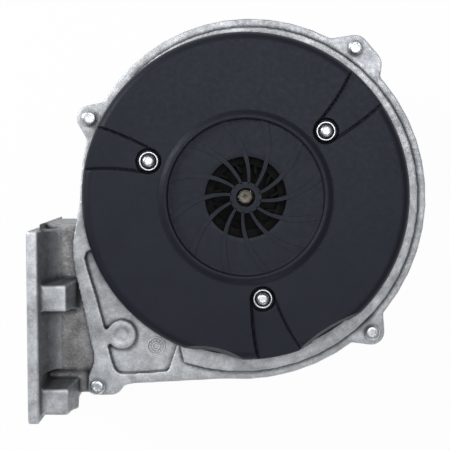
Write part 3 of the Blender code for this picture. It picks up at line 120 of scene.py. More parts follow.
# ---------------------------------------------------------------- screws, trim and shaft
COVER_HEAD_HEIGHT = 3.1
THREAD_SHARE = 0.54            # thread radius over head radius
THREAD_PITCH = 0.8
CASING_DRIVE_RADIUS = 2.5
COVER_DRIVE_RADIUS = 2.05
STEEL_RING = (4.55, 5.45)      # inner and outer radius
GROMMET = (2.3, 4.2)
SHAFT_RADIUS = 4.0


def box_centre(node):
    low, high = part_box(node)
    return [(a + b) / 2 / MM for a, b in zip(low, high)]


# ================================================================ camera, floor and light
CAMERA_PLACE = (-0.44, 36.48, 725.0)
CAMERA_AIM = (-2.64, -2.02, 124.0)
LENS = 85.0
SENSOR = 36.0


def make_camera():
    data = bpy.data.cameras.new("camera")
    data.lens = LENS
    data.sensor_width = SENSOR
    data.clip_start = 0.01
    data.clip_end = 20.0
    camera = bpy.data.objects.new("camera", data)
    bpy.context.scene.collection.objects.link(camera)
    place, aim = Vector(CAMERA_PLACE) * MM, Vector(CAMERA_AIM) * MM
    back = (place - aim).normalized()
    right = Vector((0, 1, 0)).cross(back).normalized()
    turn = Matrix((right, back.cross(right), back)).transposed()
    camera.location = place
    camera.rotation_mode = "QUATERNION"
    camera.rotation_quaternion = turn.to_quaternion()
    bpy.context.scene.camera = camera


def area_light(name, place, aim, size, power, colour=(1.0, 1.0, 1.0)):
    data = bpy.data.lights.new(name, "AREA")
    data.shape = "DISK"
    data.size = size
    data.energy = power
    data.color = colour
    light = bpy.data.objects.new(name, data)
    bpy.context.scene.collection.objects.link(light)
    light.location = place
    light.rotation_mode = "QUATERNION"
    light.rotation_quaternion = (Vector(aim) - Vector(place)).to_track_quat("-Z", "Y")


def make_lights():
    area_light("overhead", (0.1, 0.25, 1.4), (0, 0, 0.08), 0.9, 7.0)
    area_light("key", (-0.95, 0.5, 0.72), (0, 0, 0.08), 0.5, 9.0)
    area_light("rim", (0.3, -1.0, 0.5), (0, 0, 0.06), 0.6, 1.2)


def seen_directly(tree):
    """1 where a ray from the camera, a mirror or glass meets the surface first."""
    path = tree.nodes.new("ShaderNodeLightPath")
    either = path.outputs["Is Camera Ray"]
    for name in ("Is Glossy Ray", "Is Transmission Ray"):
        more = tree.nodes.new("ShaderNodeMath")
        more.operation = "MAXIMUM"
        tree.links.new(either, more.inputs[0])
        tree.links.new(path.outputs[name], more.inputs[1])
        either = more.outputs[0]
    return either


def make_world():
    world = bpy.data.worlds.new("studio")
    world.use_nodes = True
    tree = world.node_tree
    tree.nodes.clear()
    out = tree.nodes.new("ShaderNodeOutputWorld")
    lit = tree.nodes.new("ShaderNodeBackground")
    lit.inputs["Color"].default_value = (0.93, 0.96, 1.0, 1)
    lit.inputs["Strength"].default_value = 0.26
    seen = tree.nodes.new("ShaderNodeBackground")
    seen.inputs["Color"].default_value = (1, 1, 1, 1)
    seen.inputs["Strength"].default_value = 1.0
    mix = tree.nodes.new("ShaderNodeMixShader")
    path = tree.nodes.new("ShaderNodeLightPath")
    tree.links.new(path.outputs["Is Camera Ray"], mix.inputs["Fac"])
    tree.links.new(lit.outputs[0], mix.inputs[1])
    tree.links.new(seen.outputs[0], mix.inputs[2])
    tree.links.new(mix.outputs[0], out.inputs["Surface"])
    bpy.context.scene.world = world


def make_floor():
    """A pale floor that looks almost white and keeps a soft shadow."""
    form = bmesh.new()
    bmesh.ops.create_grid(form, x_segments=8, y_segments=8, size=4.0)
    mesh = bpy.data.meshes.new("floor")
    form.to_mesh(mesh)
    form.free()
    floor = bpy.data.objects.new("floor", mesh)
    floor.location = (0, 0, -0.0002)
    bpy.context.scene.collection.objects.link(floor)
    paint = bpy.data.materials.new("floor")
    paint.use_nodes = True
    tree = paint.node_tree
    tree.nodes.clear()
    out = tree.nodes.new("ShaderNodeOutputMaterial")
    plain = tree.nodes.new("ShaderNodeBsdfDiffuse")
    plain.inputs["Color"].default_value = (0.86, 0.86, 0.87, 1)
    glow = tree.nodes.new("ShaderNodeEmission")
    glow.inputs["Color"].default_value = (1, 1, 1, 1)
    mix = tree.nodes.new("ShaderNodeMixShader")
    share = tree.nodes.new("ShaderNodeMath")
    share.operation = "MULTIPLY"
    share.inputs[1].default_value = 0.965
    tree.links.new(seen_directly(tree), share.inputs[0])
    tree.links.new(share.outputs[0], mix.inputs["Fac"])
    tree.links.new(plain.outputs[0], mix.inputs[1])
    tree.links.new(glow.outputs[0], mix.inputs[2])
    tree.links.new(mix.outputs[0], out.inputs["Surface"])
    mesh.materials.append(paint)


# ================================================================ materials
class Paint:
    """A Principled material with short calls for the nodes that give it detail."""

    def __init__(self, name, metallic=0.0, specular=0.5):
        self.material = bpy.data.materials.new(name)
        self.material.use_nodes = True
        self.tree = self.material.node_tree
        self.shader = self.tree.nodes["Principled BSDF"]
        self.shader.inputs["Metallic"].default_value = metallic
        self.shader.inputs["Specular IOR Level"].default_value = specular
        self.place = self.tree.nodes.new("ShaderNodeTexCoord").outputs["Object"]

    def link(self, source, target):
        self.tree.links.new(source, target)

    def stretched(self, scale):
        """Coordinates scaled differently along each axis, for streaks."""
        mapping = self.tree.nodes.new("ShaderNodeMapping")
        mapping.inputs["Scale"].default_value = scale
        self.link(self.place, mapping.inputs["Vector"])
        return mapping.outputs["Vector"]

    def noise(self, size, detail=3.0, rough=0.55, where=None):
        """Noise whose features are about size millimetres across."""
        texture = self.tree.nodes.new("ShaderNodeTexNoise")
        texture.inputs["Scale"].default_value = 1 / (size * MM)
        texture.inputs["Detail"].default_value = detail
        texture.inputs["Roughness"].default_value = rough
        self.link(where or self.place, texture.inputs["Vector"])
        return texture.outputs["Fac"]

    def cells(self, size):
        """Distance from the middles of cells about size millimetres across."""
        texture = self.tree.nodes.new("ShaderNodeTexVoronoi")
        texture.inputs["Scale"].default_value = 1 / (size * MM)
        self.link(self.place, texture.inputs["Vector"])
        return texture.outputs["Distance"]

    def spread(self, source, low, high, to_low=0.0, to_high=1.0):
        """Source values from low to high, spread over another range and held at its ends."""
        remap = self.tree.nodes.new("ShaderNodeMapRange")
        remap.inputs["From Min"].default_value = low
        remap.inputs["From Max"].default_value = high
        remap.inputs["To Min"].default_value = to_low
        remap.inputs["To Max"].default_value = to_high
        self.link(source, remap.inputs["Value"])
        return remap.outputs["Result"]

    def blend(self, factor, first, second):
        """Two colours, or links to colours, mixed by a factor or a link to one."""
        mix = self.tree.nodes.new("ShaderNodeMix")
        mix.data_type = "RGBA"
        for value, name in ((factor, 0), (first, 6), (second, 7)):
            if isinstance(value, bpy.types.NodeSocket):
                self.link(value, mix.inputs[name])
            elif name:
                mix.inputs[name].default_value = (*value, 1.0)
            else:
                mix.inputs[name].default_value = value
        return mix.outputs[2]

    def sum(self, first, second, share):
        """second * share + first."""
        math = self.tree.nodes.new("ShaderNodeMath")
        math.operation = "MULTIPLY_ADD"
        self.link(second, math.inputs[0])
        math.inputs[1].default_value = share
        self.link(first, math.inputs[2])
        return math.outputs[0]

    def pointiness(self):
        """About 0.5 on flat faces, more on raised edges and less in hollow ones."""
        return self.tree.nodes.new("ShaderNodeNewGeometry").outputs["Pointiness"]

    def part_of(self, source, axis):
        """One axis of a vector."""
        split = self.tree.nodes.new("ShaderNodeSeparateXYZ")
        self.link(source, split.inputs["Vector"])
        return split.outputs[axis]

    def level(self):
        """1 on faces that lie flat in the object's own frame, 0 on its side walls."""
        normal = self.tree.nodes.new("ShaderNodeTexCoord").outputs["Normal"]
        size = self.tree.nodes.new("ShaderNodeMath")
        size.operation = "ABSOLUTE"
        self.link(self.part_of(normal, "Z"), size.inputs[0])
        return size.outputs[0]

    def height(self):
        return self.part_of(self.place, "Z")

    def crevice_shade(self, reach):
        """1 in the open and less where other surfaces stand within reach millimetres."""
        near = self.tree.nodes.new("ShaderNodeAmbientOcclusion")
        near.samples = 8
        near.inputs["Distance"].default_value = reach * MM
        return near.outputs["AO"]

    def colour(self, source):
        self.link(source, self.shader.inputs["Base Color"])

    def roughness(self, source):
        self.link(source, self.shader.inputs["Roughness"])

    def bump(self, source, height, strength=1.0):
        """Relief of about height millimetres."""
        bump = self.tree.nodes.new("ShaderNodeBump")
        bump.inputs["Distance"].default_value = height * MM
        bump.inputs["Strength"].default_value = strength
        self.link(source, bump.inputs["Height"])
        self.link(bump.outputs["Normal"], self.shader.inputs["Normal"])


def cast_ground(paint):
    """Upper faces lighter above the castings' joint as painted light and darker below it as
    painted shade, and streaked side walls darkened as painted shade, under brown oxide clouds."""
    cloud = paint.spread(paint.noise(9.0, 6.0, 0.62), 0.36, 0.64)
    # Upper faces above the joint take the lighter tone as painted light, and those below it the
    # darker tone as painted shade, standing for the shadow that higher parts cast over them.
    bright = paint.blend(cloud, (0.5, 0.52, 0.555), (0.8, 0.82, 0.85))
    shaded_below_seam = paint.blend(cloud, (0.2, 0.195, 0.195), (0.48, 0.48, 0.485))
    lit_above_seam = paint.spread(paint.height(), (SEAM_Z - 0.1) * MM, (SEAM_Z + 0.7) * MM)
    top = paint.blend(lit_above_seam, shaded_below_seam, bright)
    walls = paint.spread(paint.noise(1.0, 4.0, 0.6, paint.stretched((0.3, 0.3, 0.12))),
                         0.3, 0.7)
    # Side walls take a darker tone than upper faces: painted shade for how the light falls, over
    # real casting streaks.
    side = paint.blend(walls, (0.2, 0.207, 0.225), (0.36, 0.37, 0.39))
    base = paint.blend(paint.spread(paint.level(), 0.25, 0.8), side, top)
    warm = paint.spread(paint.noise(15.0, 5.0, 0.68), 0.46, 0.64, 0.0, 0.85)
    return paint.blend(warm, base, paint.blend(0.5, base, (0.17, 0.15, 0.13)))


def cast_marks(paint, base):
    """Fine mottling, bright flecks and dark pits over a ground, with painted shade in hollows
    and near walls, and edges lightened partly as wear and partly as a painted highlight.
    """
    fine = paint.spread(paint.noise(1.1, 4.0, 0.72), 0.32, 0.66)
    base = paint.blend(fine, paint.blend(0.3, base, (0.10, 0.10, 0.11)), base)
    fleck = paint.spread(paint.noise(0.8, 3.0, 0.6), 0.58, 0.7, 0.0, 0.45)
    base = paint.blend(fleck, base, (0.84, 0.86, 0.9))
    pits = paint.spread(paint.cells(3.4), 0.05, 0.13)
    worn = paint.spread(paint.noise(9.0), 0.5, 0.56)
    pits = paint.blend(worn, (1, 1, 1), pits)
    base = paint.blend(pits, paint.blend(0.6, base, (0.05, 0.05, 0.055)), base)
    # Painted shade: surfaces within 7 mm of nearby walls and corners are darkened.
    crevice_shade = paint.spread(paint.crevice_shade(7.0), 0.35, 0.85)
    base = paint.blend(crevice_shade, paint.blend(0.8, base, (0.03, 0.03, 0.034)), base)
    # Painted shade: concave hollows darkened nearly to black.
    hollow = paint.spread(paint.pointiness(), 0.455, 0.497)
    base = paint.blend(hollow, (0.05, 0.052, 0.06), base)
    # Raised edges lightened, partly as wear and partly as a painted highlight.
    edge = paint.spread(paint.pointiness(), 0.515, 0.56, 0.0, 0.7)
    return paint.blend(edge, base, (0.8, 0.81, 0.83))


def cast_paint():
    """Die-cast aluminium with a fine orange-peel relief."""
    paint = Paint("cast_aluminium", metallic=0.6)
    paint.colour(cast_marks(paint, cast_ground(paint)))
    paint.roughness(paint.spread(paint.noise(2.2, 3.0), 0.35, 0.65, 0.42, 0.6))
    relief = paint.sum(paint.noise(0.9, 3.0, 0.6), paint.noise(5.0, 2.0), 0.9)
    paint.bump(relief, 0.22, 0.55)
    return paint.material


def cover_paint():
    """Glass-filled black plastic with a fine spark-eroded grain and a few light scuffs."""
    paint = Paint("cover_plastic", specular=0.2)
    paint.shader.inputs["Specular Tint"].default_value = (0.8, 0.86, 1.0, 1.0)
    cloud = paint.spread(paint.noise(24.0, 4.0), 0.35, 0.65)
    base = paint.blend(cloud, (0.0105, 0.0112, 0.0165), (0.0145, 0.0153, 0.022))
    fine = paint.spread(paint.noise(0.7, 3.0, 0.7), 0.35, 0.68)
    base = paint.blend(fine, base, (0.018, 0.019, 0.027))
    dust = paint.spread(paint.cells(6.0), 0.012, 0.03)
    base = paint.blend(dust, (0.07, 0.073, 0.078), base)
    # Painted highlight: raised edges lightened.
    edge = paint.spread(paint.pointiness(), 0.515, 0.57, 0.0, 0.35)
    base = paint.blend(edge, base, (0.05, 0.054, 0.062))
    # Painted shade: creases and corners darkened nearly to black.
    crevice_shade = paint.spread(paint.crevice_shade(1.1), 0.45, 0.9)
    base = paint.blend(crevice_shade, (0.003, 0.003, 0.004), base)
    paint.colour(base)
    paint.roughness(paint.spread(paint.noise(3.0, 4.0), 0.3, 0.7, 0.4, 0.52))
    paint.bump(paint.noise(0.55, 2.0, 0.6), 0.06, 0.6)
    return paint.material


def plated_paint():
    """Zinc-plated steel: bright, slightly cloudy, faint turning marks."""
    paint = Paint("zinc_steel", metallic=1.0)
    cloud = paint.spread(paint.noise(1.6, 4.0), 0.3, 0.7)
    paint.colour(paint.blend(cloud, (0.5, 0.53, 0.56), (0.76, 0.78, 0.8)))
    paint.roughness(paint.spread(paint.noise(0.8, 3.0), 0.3, 0.7, 0.3, 0.46))
    paint.bump(paint.noise(0.5, 2.0), 0.02, 0.4)
    return paint.material


def grained_paint(name, dark, light, size, rough, metallic=0.0, relief=0.05, specular=0.5):
    """A material mottled between two colours, with grain in its gloss and relief."""
    paint = Paint(name, metallic=metallic, specular=specular)
    cloud = paint.spread(paint.noise(size, 4.0), 0.33, 0.67)
    base = paint.blend(cloud, dark, light)
    speck = paint.spread(paint.noise(size / 8, 2.0), 0.3, 0.7, 0.0, 0.35)
    paint.colour(paint.blend(speck, base, dark))
    paint.roughness(paint.spread(paint.noise(size / 3, 3.0), 0.3, 0.7, rough[0], rough[1]))
    paint.bump(paint.noise(size / 10, 3.0), relief, 0.5)
    return paint.material


def streaked_paint(name, dark, light, rough, along, metallic=1.0):
    """Turned, drawn or laminated metal, with fine streaks."""
    paint = Paint(name, metallic=metallic)
    lines = paint.noise(1.0, 3.0, 0.6, paint.stretched(along))
    lines = paint.spread(lines, 0.3, 0.7)
    paint.colour(paint.blend(lines, dark, light))
    paint.roughness(paint.spread(paint.noise(2.0, 3.0), 0.3, 0.7, rough[0], rough[1]))
    paint.bump(lines, 0.03, 0.4)
    return paint.material


def make_paints():
    paints = {
        "cast_aluminium": cast_paint(),
        "cover_plastic": cover_paint(),
        "zinc_steel": plated_paint(),
        "shaft_steel": streaked_paint("shaft_steel", (0.24, 0.225, 0.18), (0.34, 0.32, 0.26),
                                      (0.5, 0.62), (0.4, 0.4, 3.0), 0.5),
        "black_rubber": grained_paint("black_rubber", (0.008, 0.008, 0.009),
                                      (0.02, 0.02, 0.021), 2.0, (0.6, 0.8)),
        "wheel_aluminium": grained_paint("wheel_aluminium", (0.5, 0.51, 0.52),
                                         (0.68, 0.69, 0.7), 6.0, (0.3, 0.44), 1.0),
        "lamination_steel": streaked_paint("lamination_steel", (0.16, 0.165, 0.18),
                                           (0.4, 0.41, 0.43), (0.35, 0.5), (0.05, 0.05, 2.0)),
        "copper_wire": streaked_paint("copper_wire", (0.36, 0.12, 0.04), (0.72, 0.31, 0.13),
                                      (0.28, 0.42), (0.3, 0.3, 2.4)),
        "white_plastic": grained_paint("white_plastic", (0.68, 0.67, 0.62),
                                       (0.8, 0.79, 0.75), 5.0, (0.42, 0.56)),
        "magnet_ferrite": grained_paint("magnet_ferrite", (0.035, 0.035, 0.04),
                                        (0.09, 0.09, 0.095), 2.0, (0.5, 0.66)),
        "board_laminate": grained_paint("board_laminate", (0.01, 0.1, 0.035),
                                        (0.03, 0.2, 0.08), 4.0, (0.36, 0.5)),
        "brass": grained_paint("brass", (0.48, 0.33, 0.13), (0.72, 0.54, 0.26), 3.0,
                               (0.24, 0.38), 1.0),
        "capacitor_sleeve": grained_paint("capacitor_sleeve", (0.01, 0.014, 0.04),
                                          (0.025, 0.032, 0.075), 6.0, (0.3, 0.44)),
        # Black plastic set far darker than its own tone, as painted shade for the inside of the
        # housing.
        "fan_plastic": grained_paint("fan_plastic", (0.002, 0.002, 0.003),
                                     (0.005, 0.005, 0.006), 6.0, (0.5, 0.66), specular=0.12),
    }
    return paints


# ================================================================ mesh helpers
def polar(radius, degrees):
    return radius * cos(radians(degrees)), radius * sin(radians(degrees))


def mesh_of(name, points, faces):
    """A mesh from points in millimetres about the impeller's axis."""
    mesh = bpy.data.meshes.new(name)
    placed = (np.asarray(points, float) + (AXIS_X, AXIS_Y, 0.0)) * MM
    mesh.from_pydata(placed.tolist(), [], faces)
    return mesh


def cleaned(mesh):
    form = bmesh.new()
    form.from_mesh(mesh)
    bmesh.ops.remove_doubles(form, verts=form.verts, dist=WELD)
    bmesh.ops.recalc_face_normals(form, faces=form.faces)
    form.to_mesh(mesh)
    form.free()
    return mesh


def settle(name, mesh, paint, body, replaced=(), angle=38.0):
    """A finished piece from a mesh: cleaned, shaded, painted, riding with a body."""
    cleaned(mesh)
    mesh.shade_smooth()
    mesh.set_sharp_from_angle(angle=radians(angle))
    mesh.materials.clear()
    mesh.materials.append(paint)
    piece = bpy.data.objects.new(name, mesh)
    bpy.context.scene.collection.objects.link(piece)
    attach(piece, body)
    if replaced:
        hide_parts(*replaced)
    return piece


def new_piece(name, points, faces, paint, body, replaced=()):
    return settle(name, mesh_of(name, points, faces), paint, body, replaced)


def grid_faces(rows, columns, close_rows=False):
    """Quads of a grid of points that closes on itself along its columns."""
    faces = []
    count = rows if close_rows else rows - 1
    for row in range(count):
        here, there = row * columns, (row + 1) % rows * columns
        for column in range(columns):
            beside = (column + 1) % columns
            faces.append((here + column, here + beside, there + beside, there + column))
    return faces


def turned(profile, steps, centre=(0.0, 0.0), closed=False):
    """Points and faces of a profile of (radius, height) pairs turned about a vertical line."""
    angles = np.linspace(0, 2 * pi, steps, endpoint=False)
    rows = np.array(profile, float)
    points = np.empty((len(rows), steps, 3))
    points[..., 0] = centre[0] + rows[:, :1] * np.cos(angles)
    points[..., 1] = centre[1] + rows[:, :1] * np.sin(angles)
    points[..., 2] = rows[:, 1:2]
    return points.reshape(-1, 3), grid_faces(len(rows), steps, closed)


def joined(shapes):
    """Several (points, faces) shapes as one."""
    points, faces, start = [], [], 0
    for some, quads in shapes:
        points.append(np.asarray(some, float))
        faces += [tuple(start + index for index in quad) for quad in quads]
        start += len(some)
    return np.concatenate(points), faces


def eased(values, low, high):
    t = np.clip((values - low) / (high - low), 0, 1)
    return t * t * (3 - 2 * t)


def cut_by(name, mesh, tool):
    """The mesh with the tool's shape taken out of it; the tool is used up."""
    body = loose_object(name, mesh)
    cut = body.modifiers.new("cut", "BOOLEAN")
    cut.operation = "DIFFERENCE"
    cut.solver = "EXACT"
    cut.object = tool
    mesh = applied(body)
    bpy.data.objects.remove(tool, do_unlink=True)
    return mesh


def applied(obj):
    """The object's mesh with its modifiers settled in, and the object removed."""
    depsgraph = bpy.context.evaluated_depsgraph_get()
    mesh = bpy.data.meshes.new_from_object(obj.evaluated_get(depsgraph))
    bpy.data.objects.remove(obj, do_unlink=True)
    return mesh


def loose_object(name, mesh):
    obj = bpy.data.objects.new(name, mesh)
    bpy.context.scene.collection.objects.link(obj)
    return obj


# ================================================================ motor cover
def channel_distance(radius, angle):
    """How far a point on the cover's top lies inside the nearest screw channel."""
    best = np.full(np.broadcast(radius, angle).shape, -99.0)
    for start in COVER_SCREW_ANGLES:
        turn = np.radians(angle - start)
        along, across = radius * np.cos(turn), radius * np.sin(turn)
        run = np.clip((along - COVER_SCREW_RADIUS) / (COVER_RADIUS - COVER_SCREW_RADIUS), 0, 1.1)
        high, low = (CHANNEL_END_RADIUS + grow * run + bow * np.sin(pi * np.clip(run, 0, 1))
                     for grow, bow in zip(CHANNEL_WIDENING, CHANNEL_BOW))
        inside = np.minimum(across + low, high - across)
        end = CHANNEL_END_RADIUS - np.hypot(along - COVER_SCREW_RADIUS, across)
        inside = np.where(along > COVER_SCREW_RADIUS, inside, end)
        best = np.maximum(best, np.where(along > 0, inside, -99.0))
    return best


def pocket_distance(radius, angle):
    best = np.full(np.broadcast(radius, angle).shape, -99.0)
    for start in COVER_SCREW_ANGLES:
        turn = np.radians(angle - start)
        away = np.hypot(radius * np.cos(turn) - COVER_SCREW_RADIUS, radius * np.sin(turn))
        best = np.maximum(best, POCKET_RADIUS - away)
    return best


def cover_sink(radius, angle):
    """How far the channels and screw pockets lie below the cover's plain top."""
    inside = channel_distance(radius, angle)
    channel = CHANNEL_DEPTH * eased(inside, -0.25, 0.85)
    crease = 0.5 * np.exp(-((inside - 1.1) / 0.45) ** 2)
    pocket = (POCKET_DEPTH - CHANNEL_DEPTH) * eased(pocket_distance(radius, angle), -0.3, 0.4)
    return channel + crease + pocket


def scallop_limit(height, angle):
    """Largest radius that the scoops in the cover's edge leave at a height and direction."""
    limit = np.full(np.broadcast(height, angle).shape, 999.0)
    for direction, size in SCALLOPS:
        reach = COVER_RADIUS - COVER_DRAFT - SCALLOP_INSET + size
        fall = (height - (COVER_Z - SCALLOP_DEPTH)) / SCALLOP_DEPTH
        bend = size + SCALLOP_SLOPE * (fall - 1)
        turn = np.radians((angle - direction + 180) % 360 - 180)
        under = bend ** 2 - (reach * np.sin(turn)) ** 2
        found = reach * np.cos(turn) - np.sqrt(np.maximum(under, 0))
        limit = np.where((under > 0) & (np.abs(turn) < 0.6), np.minimum(limit, found), limit)
    return limit


def cover_profile():
    """(radius, height, kind) down the cover's outer side; kind 1 is sunk, 2 is scooped."""
    floor = RECESS_Z
    rows = [(OPENING_RADIUS, floor - GRILLE_THICKNESS, 0), (OPENING_RADIUS, floor - 0.35, 0),
            (OPENING_RADIUS + 0.1, floor - 0.1, 0), (OPENING_RADIUS + 0.35, floor, 0)]
    rows += [(r, floor, 0) for r in (26.0, 30.0, 34.0, 38.0, 41.0, 43.0, 43.8)]
    rows += [(RECESS_RADIUS, floor + 0.1, 0), (44.5, floor + 0.8, 0), (44.65, floor + 1.8, 0),
             (44.8, LIP_Z - 0.55, 0), (45.1, LIP_Z - 0.16, 0), (LIP_CREST_RADIUS, LIP_Z, 0),
             (46.2, LIP_Z - 0.05, 0)]
    for step in range(1, 10):
        t = step / 9
        rows.append((46.2 + (LIP_FOOT_RADIUS - 46.2) * t,
                     COVER_Z + (LIP_RISE - 0.05) * (1 - t * t * (3 - 2 * t)), 1))
    flat_end = COVER_RADIUS - COVER_DRAFT - COVER_EDGE_ROUND
    count = int((flat_end - LIP_FOOT_RADIUS) / 0.56)
    rows += [(LIP_FOOT_RADIUS + (flat_end - LIP_FOOT_RADIUS) * step / count, COVER_Z, 1)
             for step in range(1, count + 1)]
    for step in range(1, 13):
        turn = radians(90 - 84 * step / 12)
        rows.append((flat_end + COVER_EDGE_ROUND * cos(turn),
                     COVER_Z - COVER_EDGE_ROUND + COVER_EDGE_ROUND * sin(turn), 2))
    top_r, top_z = rows[-1][0], rows[-1][1]
    for step in range(1, 17):
        t = step / 16
        rows.append((top_r + (COVER_RADIUS - top_r) * t,
                     top_z + (COVER_FOOT_Z - top_z) * t, 2))
    return rows


def cover_inside():
    """(radius, height) from the cover's foot up its inner side and back to the opening."""
    wall = COVER_WALL
    inner = COVER_RADIUS - wall
    rows = [(inner, COVER_FOOT_Z), (inner - 0.6, COVER_Z - 16),
            (inner - 4.6, COVER_Z - 10), (inner - 6.5, COVER_Z - COVER_EDGE_ROUND)]
    rows += [(r, COVER_Z - wall) for r in (84.0, 76.0, 69.0, 66.5, 64.0, 59.0, 54.0, 51.5)]
    rows += [(LIP_FOOT_RADIUS, COVER_Z - wall), (RECESS_RADIUS, RECESS_Z - GRILLE_THICKNESS)]
    return rows


def cover_directions():
    """Directions around the cover, closer together over the channels and scoops."""
    fine = [(start - 10, start + 14) for start in COVER_SCREW_ANGLES]
    for (direction, _), reach in zip(SCALLOPS, SCALLOP_REACH):
        fine.append((direction - reach + 360, direction + reach + 360))
    found, angle = [], 0.0
    while angle < 360.0 - 0.2:
        found.append(angle)
        close = any(low <= angle <= high for low, high in fine)
        angle += 0.34 if close else 1.0
    return np.array(found)


def cover_shell():
    angles = cover_directions()
    outer = np.array(cover_profile())
    radius = np.repeat(outer[:, :1], len(angles), axis=1)
    height = np.repeat(outer[:, 1:2], len(angles), axis=1)
    kind = outer[:, 2:3]
    sunk = COVER_Z - cover_sink(radius, angles[None, :])
    height = np.where(kind > 0, np.minimum(height, np.maximum(sunk, COVER_FOOT_Z)
                                           + np.maximum(height - COVER_Z, 0)), height)
    limit = scallop_limit(height, angles[None, :])
    radius = np.minimum(radius, limit)
    inner = np.array(cover_inside())
    inner_radius = np.repeat(inner[:, :1], len(angles), axis=1)
    under = COVER_Z - COVER_WALL - cover_sink(inner_radius, angles[None, :])
    inner_height = np.minimum(inner[:, 1:2], under)
    inner_limit = scallop_limit(inner_height, angles[None, :]) - COVER_WALL
    inner_radius = np.minimum(inner_radius, inner_limit)
    all_radius = np.concatenate([radius, inner_radius])
    all_height = np.concatenate([height, inner_height])
    turn = np.radians(angles)[None, :]
    points = np.stack([all_radius * np.cos(turn), all_radius * np.sin(turn), all_height], -1)
    return points.reshape(-1, 3), grid_faces(len(all_radius), len(angles), True)


def rib_shape(turn):
    """One grille rib with softly rounded upper edges, swept along its curve."""
    low = RECESS_Z - GRILLE_THICKNESS + 0.4
    high = RECESS_Z + RIB_RELIEF
    section = [(-1.0, low), (-1.0, high - 0.12), (-0.94, high), (-0.8, high), (-0.3, high),
               (0.3, high), (0.8, high), (0.94, high), (1.0, high - 0.12), (1.0, low)]
    steps = 56
    start, end = HUB_RADIUS - 0.6, RECESS_RADIUS + 0.25
    points = []
    for step in range(steps + 1):
        radius = start + (end - start) * step / steps
        angle = RIB_START_ANGLE + RIB_SWEEP * (radius - RIB_START_RADIUS) + turn
        width = RIB_WIDTH + RIB_WIDENING * (radius - RIB_START_RADIUS)
        half = width / 2 * hypot(1, radians(RIB_SWEEP) * radius)
        for side, height in section:
            x, y = polar(radius, angle + side * half / radius * 180 / pi)
            points.append((x, y, height))
    count = len(section)
    faces = []
    for step in range(steps):
        for index in range(count):
            beside = (index + 1) % count
            faces.append((step * count + index, step * count + beside,
                          (step + 1) * count + beside, (step + 1) * count + index))
    faces.append(tuple(range(count)))
    faces.append(tuple(steps * count + index for index in reversed(range(count))))
    return points, faces


def hub_shape():
    low, high = RECESS_Z - GRILLE_THICKNESS + 0.2, RECESS_Z + RIB_RELIEF
    outer, inner = HUB_RADIUS, HUB_HOLE_RADIUS
    profile = [(outer, low), (outer, high - 0.15), (outer - 0.15, high),
               (outer - 0.7, high), (inner + 1.2, high), (inner + 0.3, high),
               (inner, high - 0.3), (inner, low)]
    return turned(profile, 64, closed=True)


def socket_cutter():
    """Boxes that open the cover's side around the two sockets."""
    form = bmesh.new()
    for node in ("mains_socket", "signal_socket"):
        points = [Vector(v.co) for v in NODES[node].data.vertices]
        centre = sum(points, Vector()) / len(points) - AXIS
        turn = Matrix.Rotation(-np.arctan2(centre.y, centre.x), 4, "Z")
        local = [turn @ (p - AXIS) for p in points]
        half = max(abs(p.y) for p in local) + 0.4 * MM
        low = min(p.z for p in local) - 0.4 * MM
        high = max(p.z for p in local) + 0.4 * MM
        made = bmesh.ops.create_cube(form, size=1.0)["verts"]
        near, far = (COVER_RADIUS - 16) * MM, (COVER_RADIUS + 4) * MM
        for vertex in made:
            vertex.co = Vector(((near + far) / 2 + vertex.co.x * (far - near),
                                vertex.co.y * half * 2,
                                (low + high) / 2 + vertex.co.z * (high - low)))
            vertex.co = turn.inverted() @ vertex.co + AXIS
    mesh = bpy.data.meshes.new("socket_cutter")
    form.to_mesh(mesh)
    form.free()
    return loose_object("socket_cutter", mesh)


def motor_cover(paint):
    shell = cleaned(mesh_of("cover_shell", *cover_shell()))
    body = cut_by("cover_shell", shell, socket_cutter())
    shapes = [rib_shape(index * 360 / RIBS) for index in range(RIBS)] + [hub_shape()]
    form = bmesh.new()
    form.from_mesh(body)
    form.from_mesh(mesh_of("cover_grille", *joined(shapes)))
    form.to_mesh(body)
    form.free()
    settle("cover_shell_fine", body, paint, "housing", ["motor_cover"])


# ================================================================ castings
def prism(levels):
    """A closed shape through outlines of equal count, from first to last."""
    count = len(levels[0])
    points = [point for outline in levels for point in outline]
    faces = grid_faces(len(levels), count)
    faces.append(tuple(reversed(range(count))))
    faces.append(tuple((len(levels) - 1) * count + index for index in range(count)))
    return points, faces


def flange_fillet():
    """Hollow sweep that runs the outlet flange's back into the duct's top."""
    reach, high, low = 10.5, FLANGE_TOP_Z - 3.5, SEAM_Z - 0.4
    side = [(FLANGE_BACK_X - 2, high)]
    for step in range(13):
        turn = radians(90 * step / 12)
        side.append((FLANGE_BACK_X + reach * (1 - cos(turn)), high - (high - low) * sin(turn)))
    side += [(FLANGE_BACK_X + reach, low - 2.2), (FLANGE_BACK_X - 2, low - 2.2)]
    return prism([[(x, y, z) for x, z in side] for y in DUCT_SIDES])


def bolt_boss(middle, foot):
    """Drafted sleeve that widens a bolt boss towards its foot, (height, reach, half width)."""
    levels = []
    for height, reach, half in (foot, (SEAM_Z + 1, 18.6, 9.2), (SEAM_Z + 7, 17.2, 8.3),
                                (BOSS_TOP_Z, 14.9, 7.6)):
        near, far = FLANGE_BACK_X - 1, FLANGE_BACK_X + reach
        levels.append([(near, middle - half, height), (far, middle - half, height),
                       (far, middle + half, height), (near, middle + half, height)])
    return prism(levels)


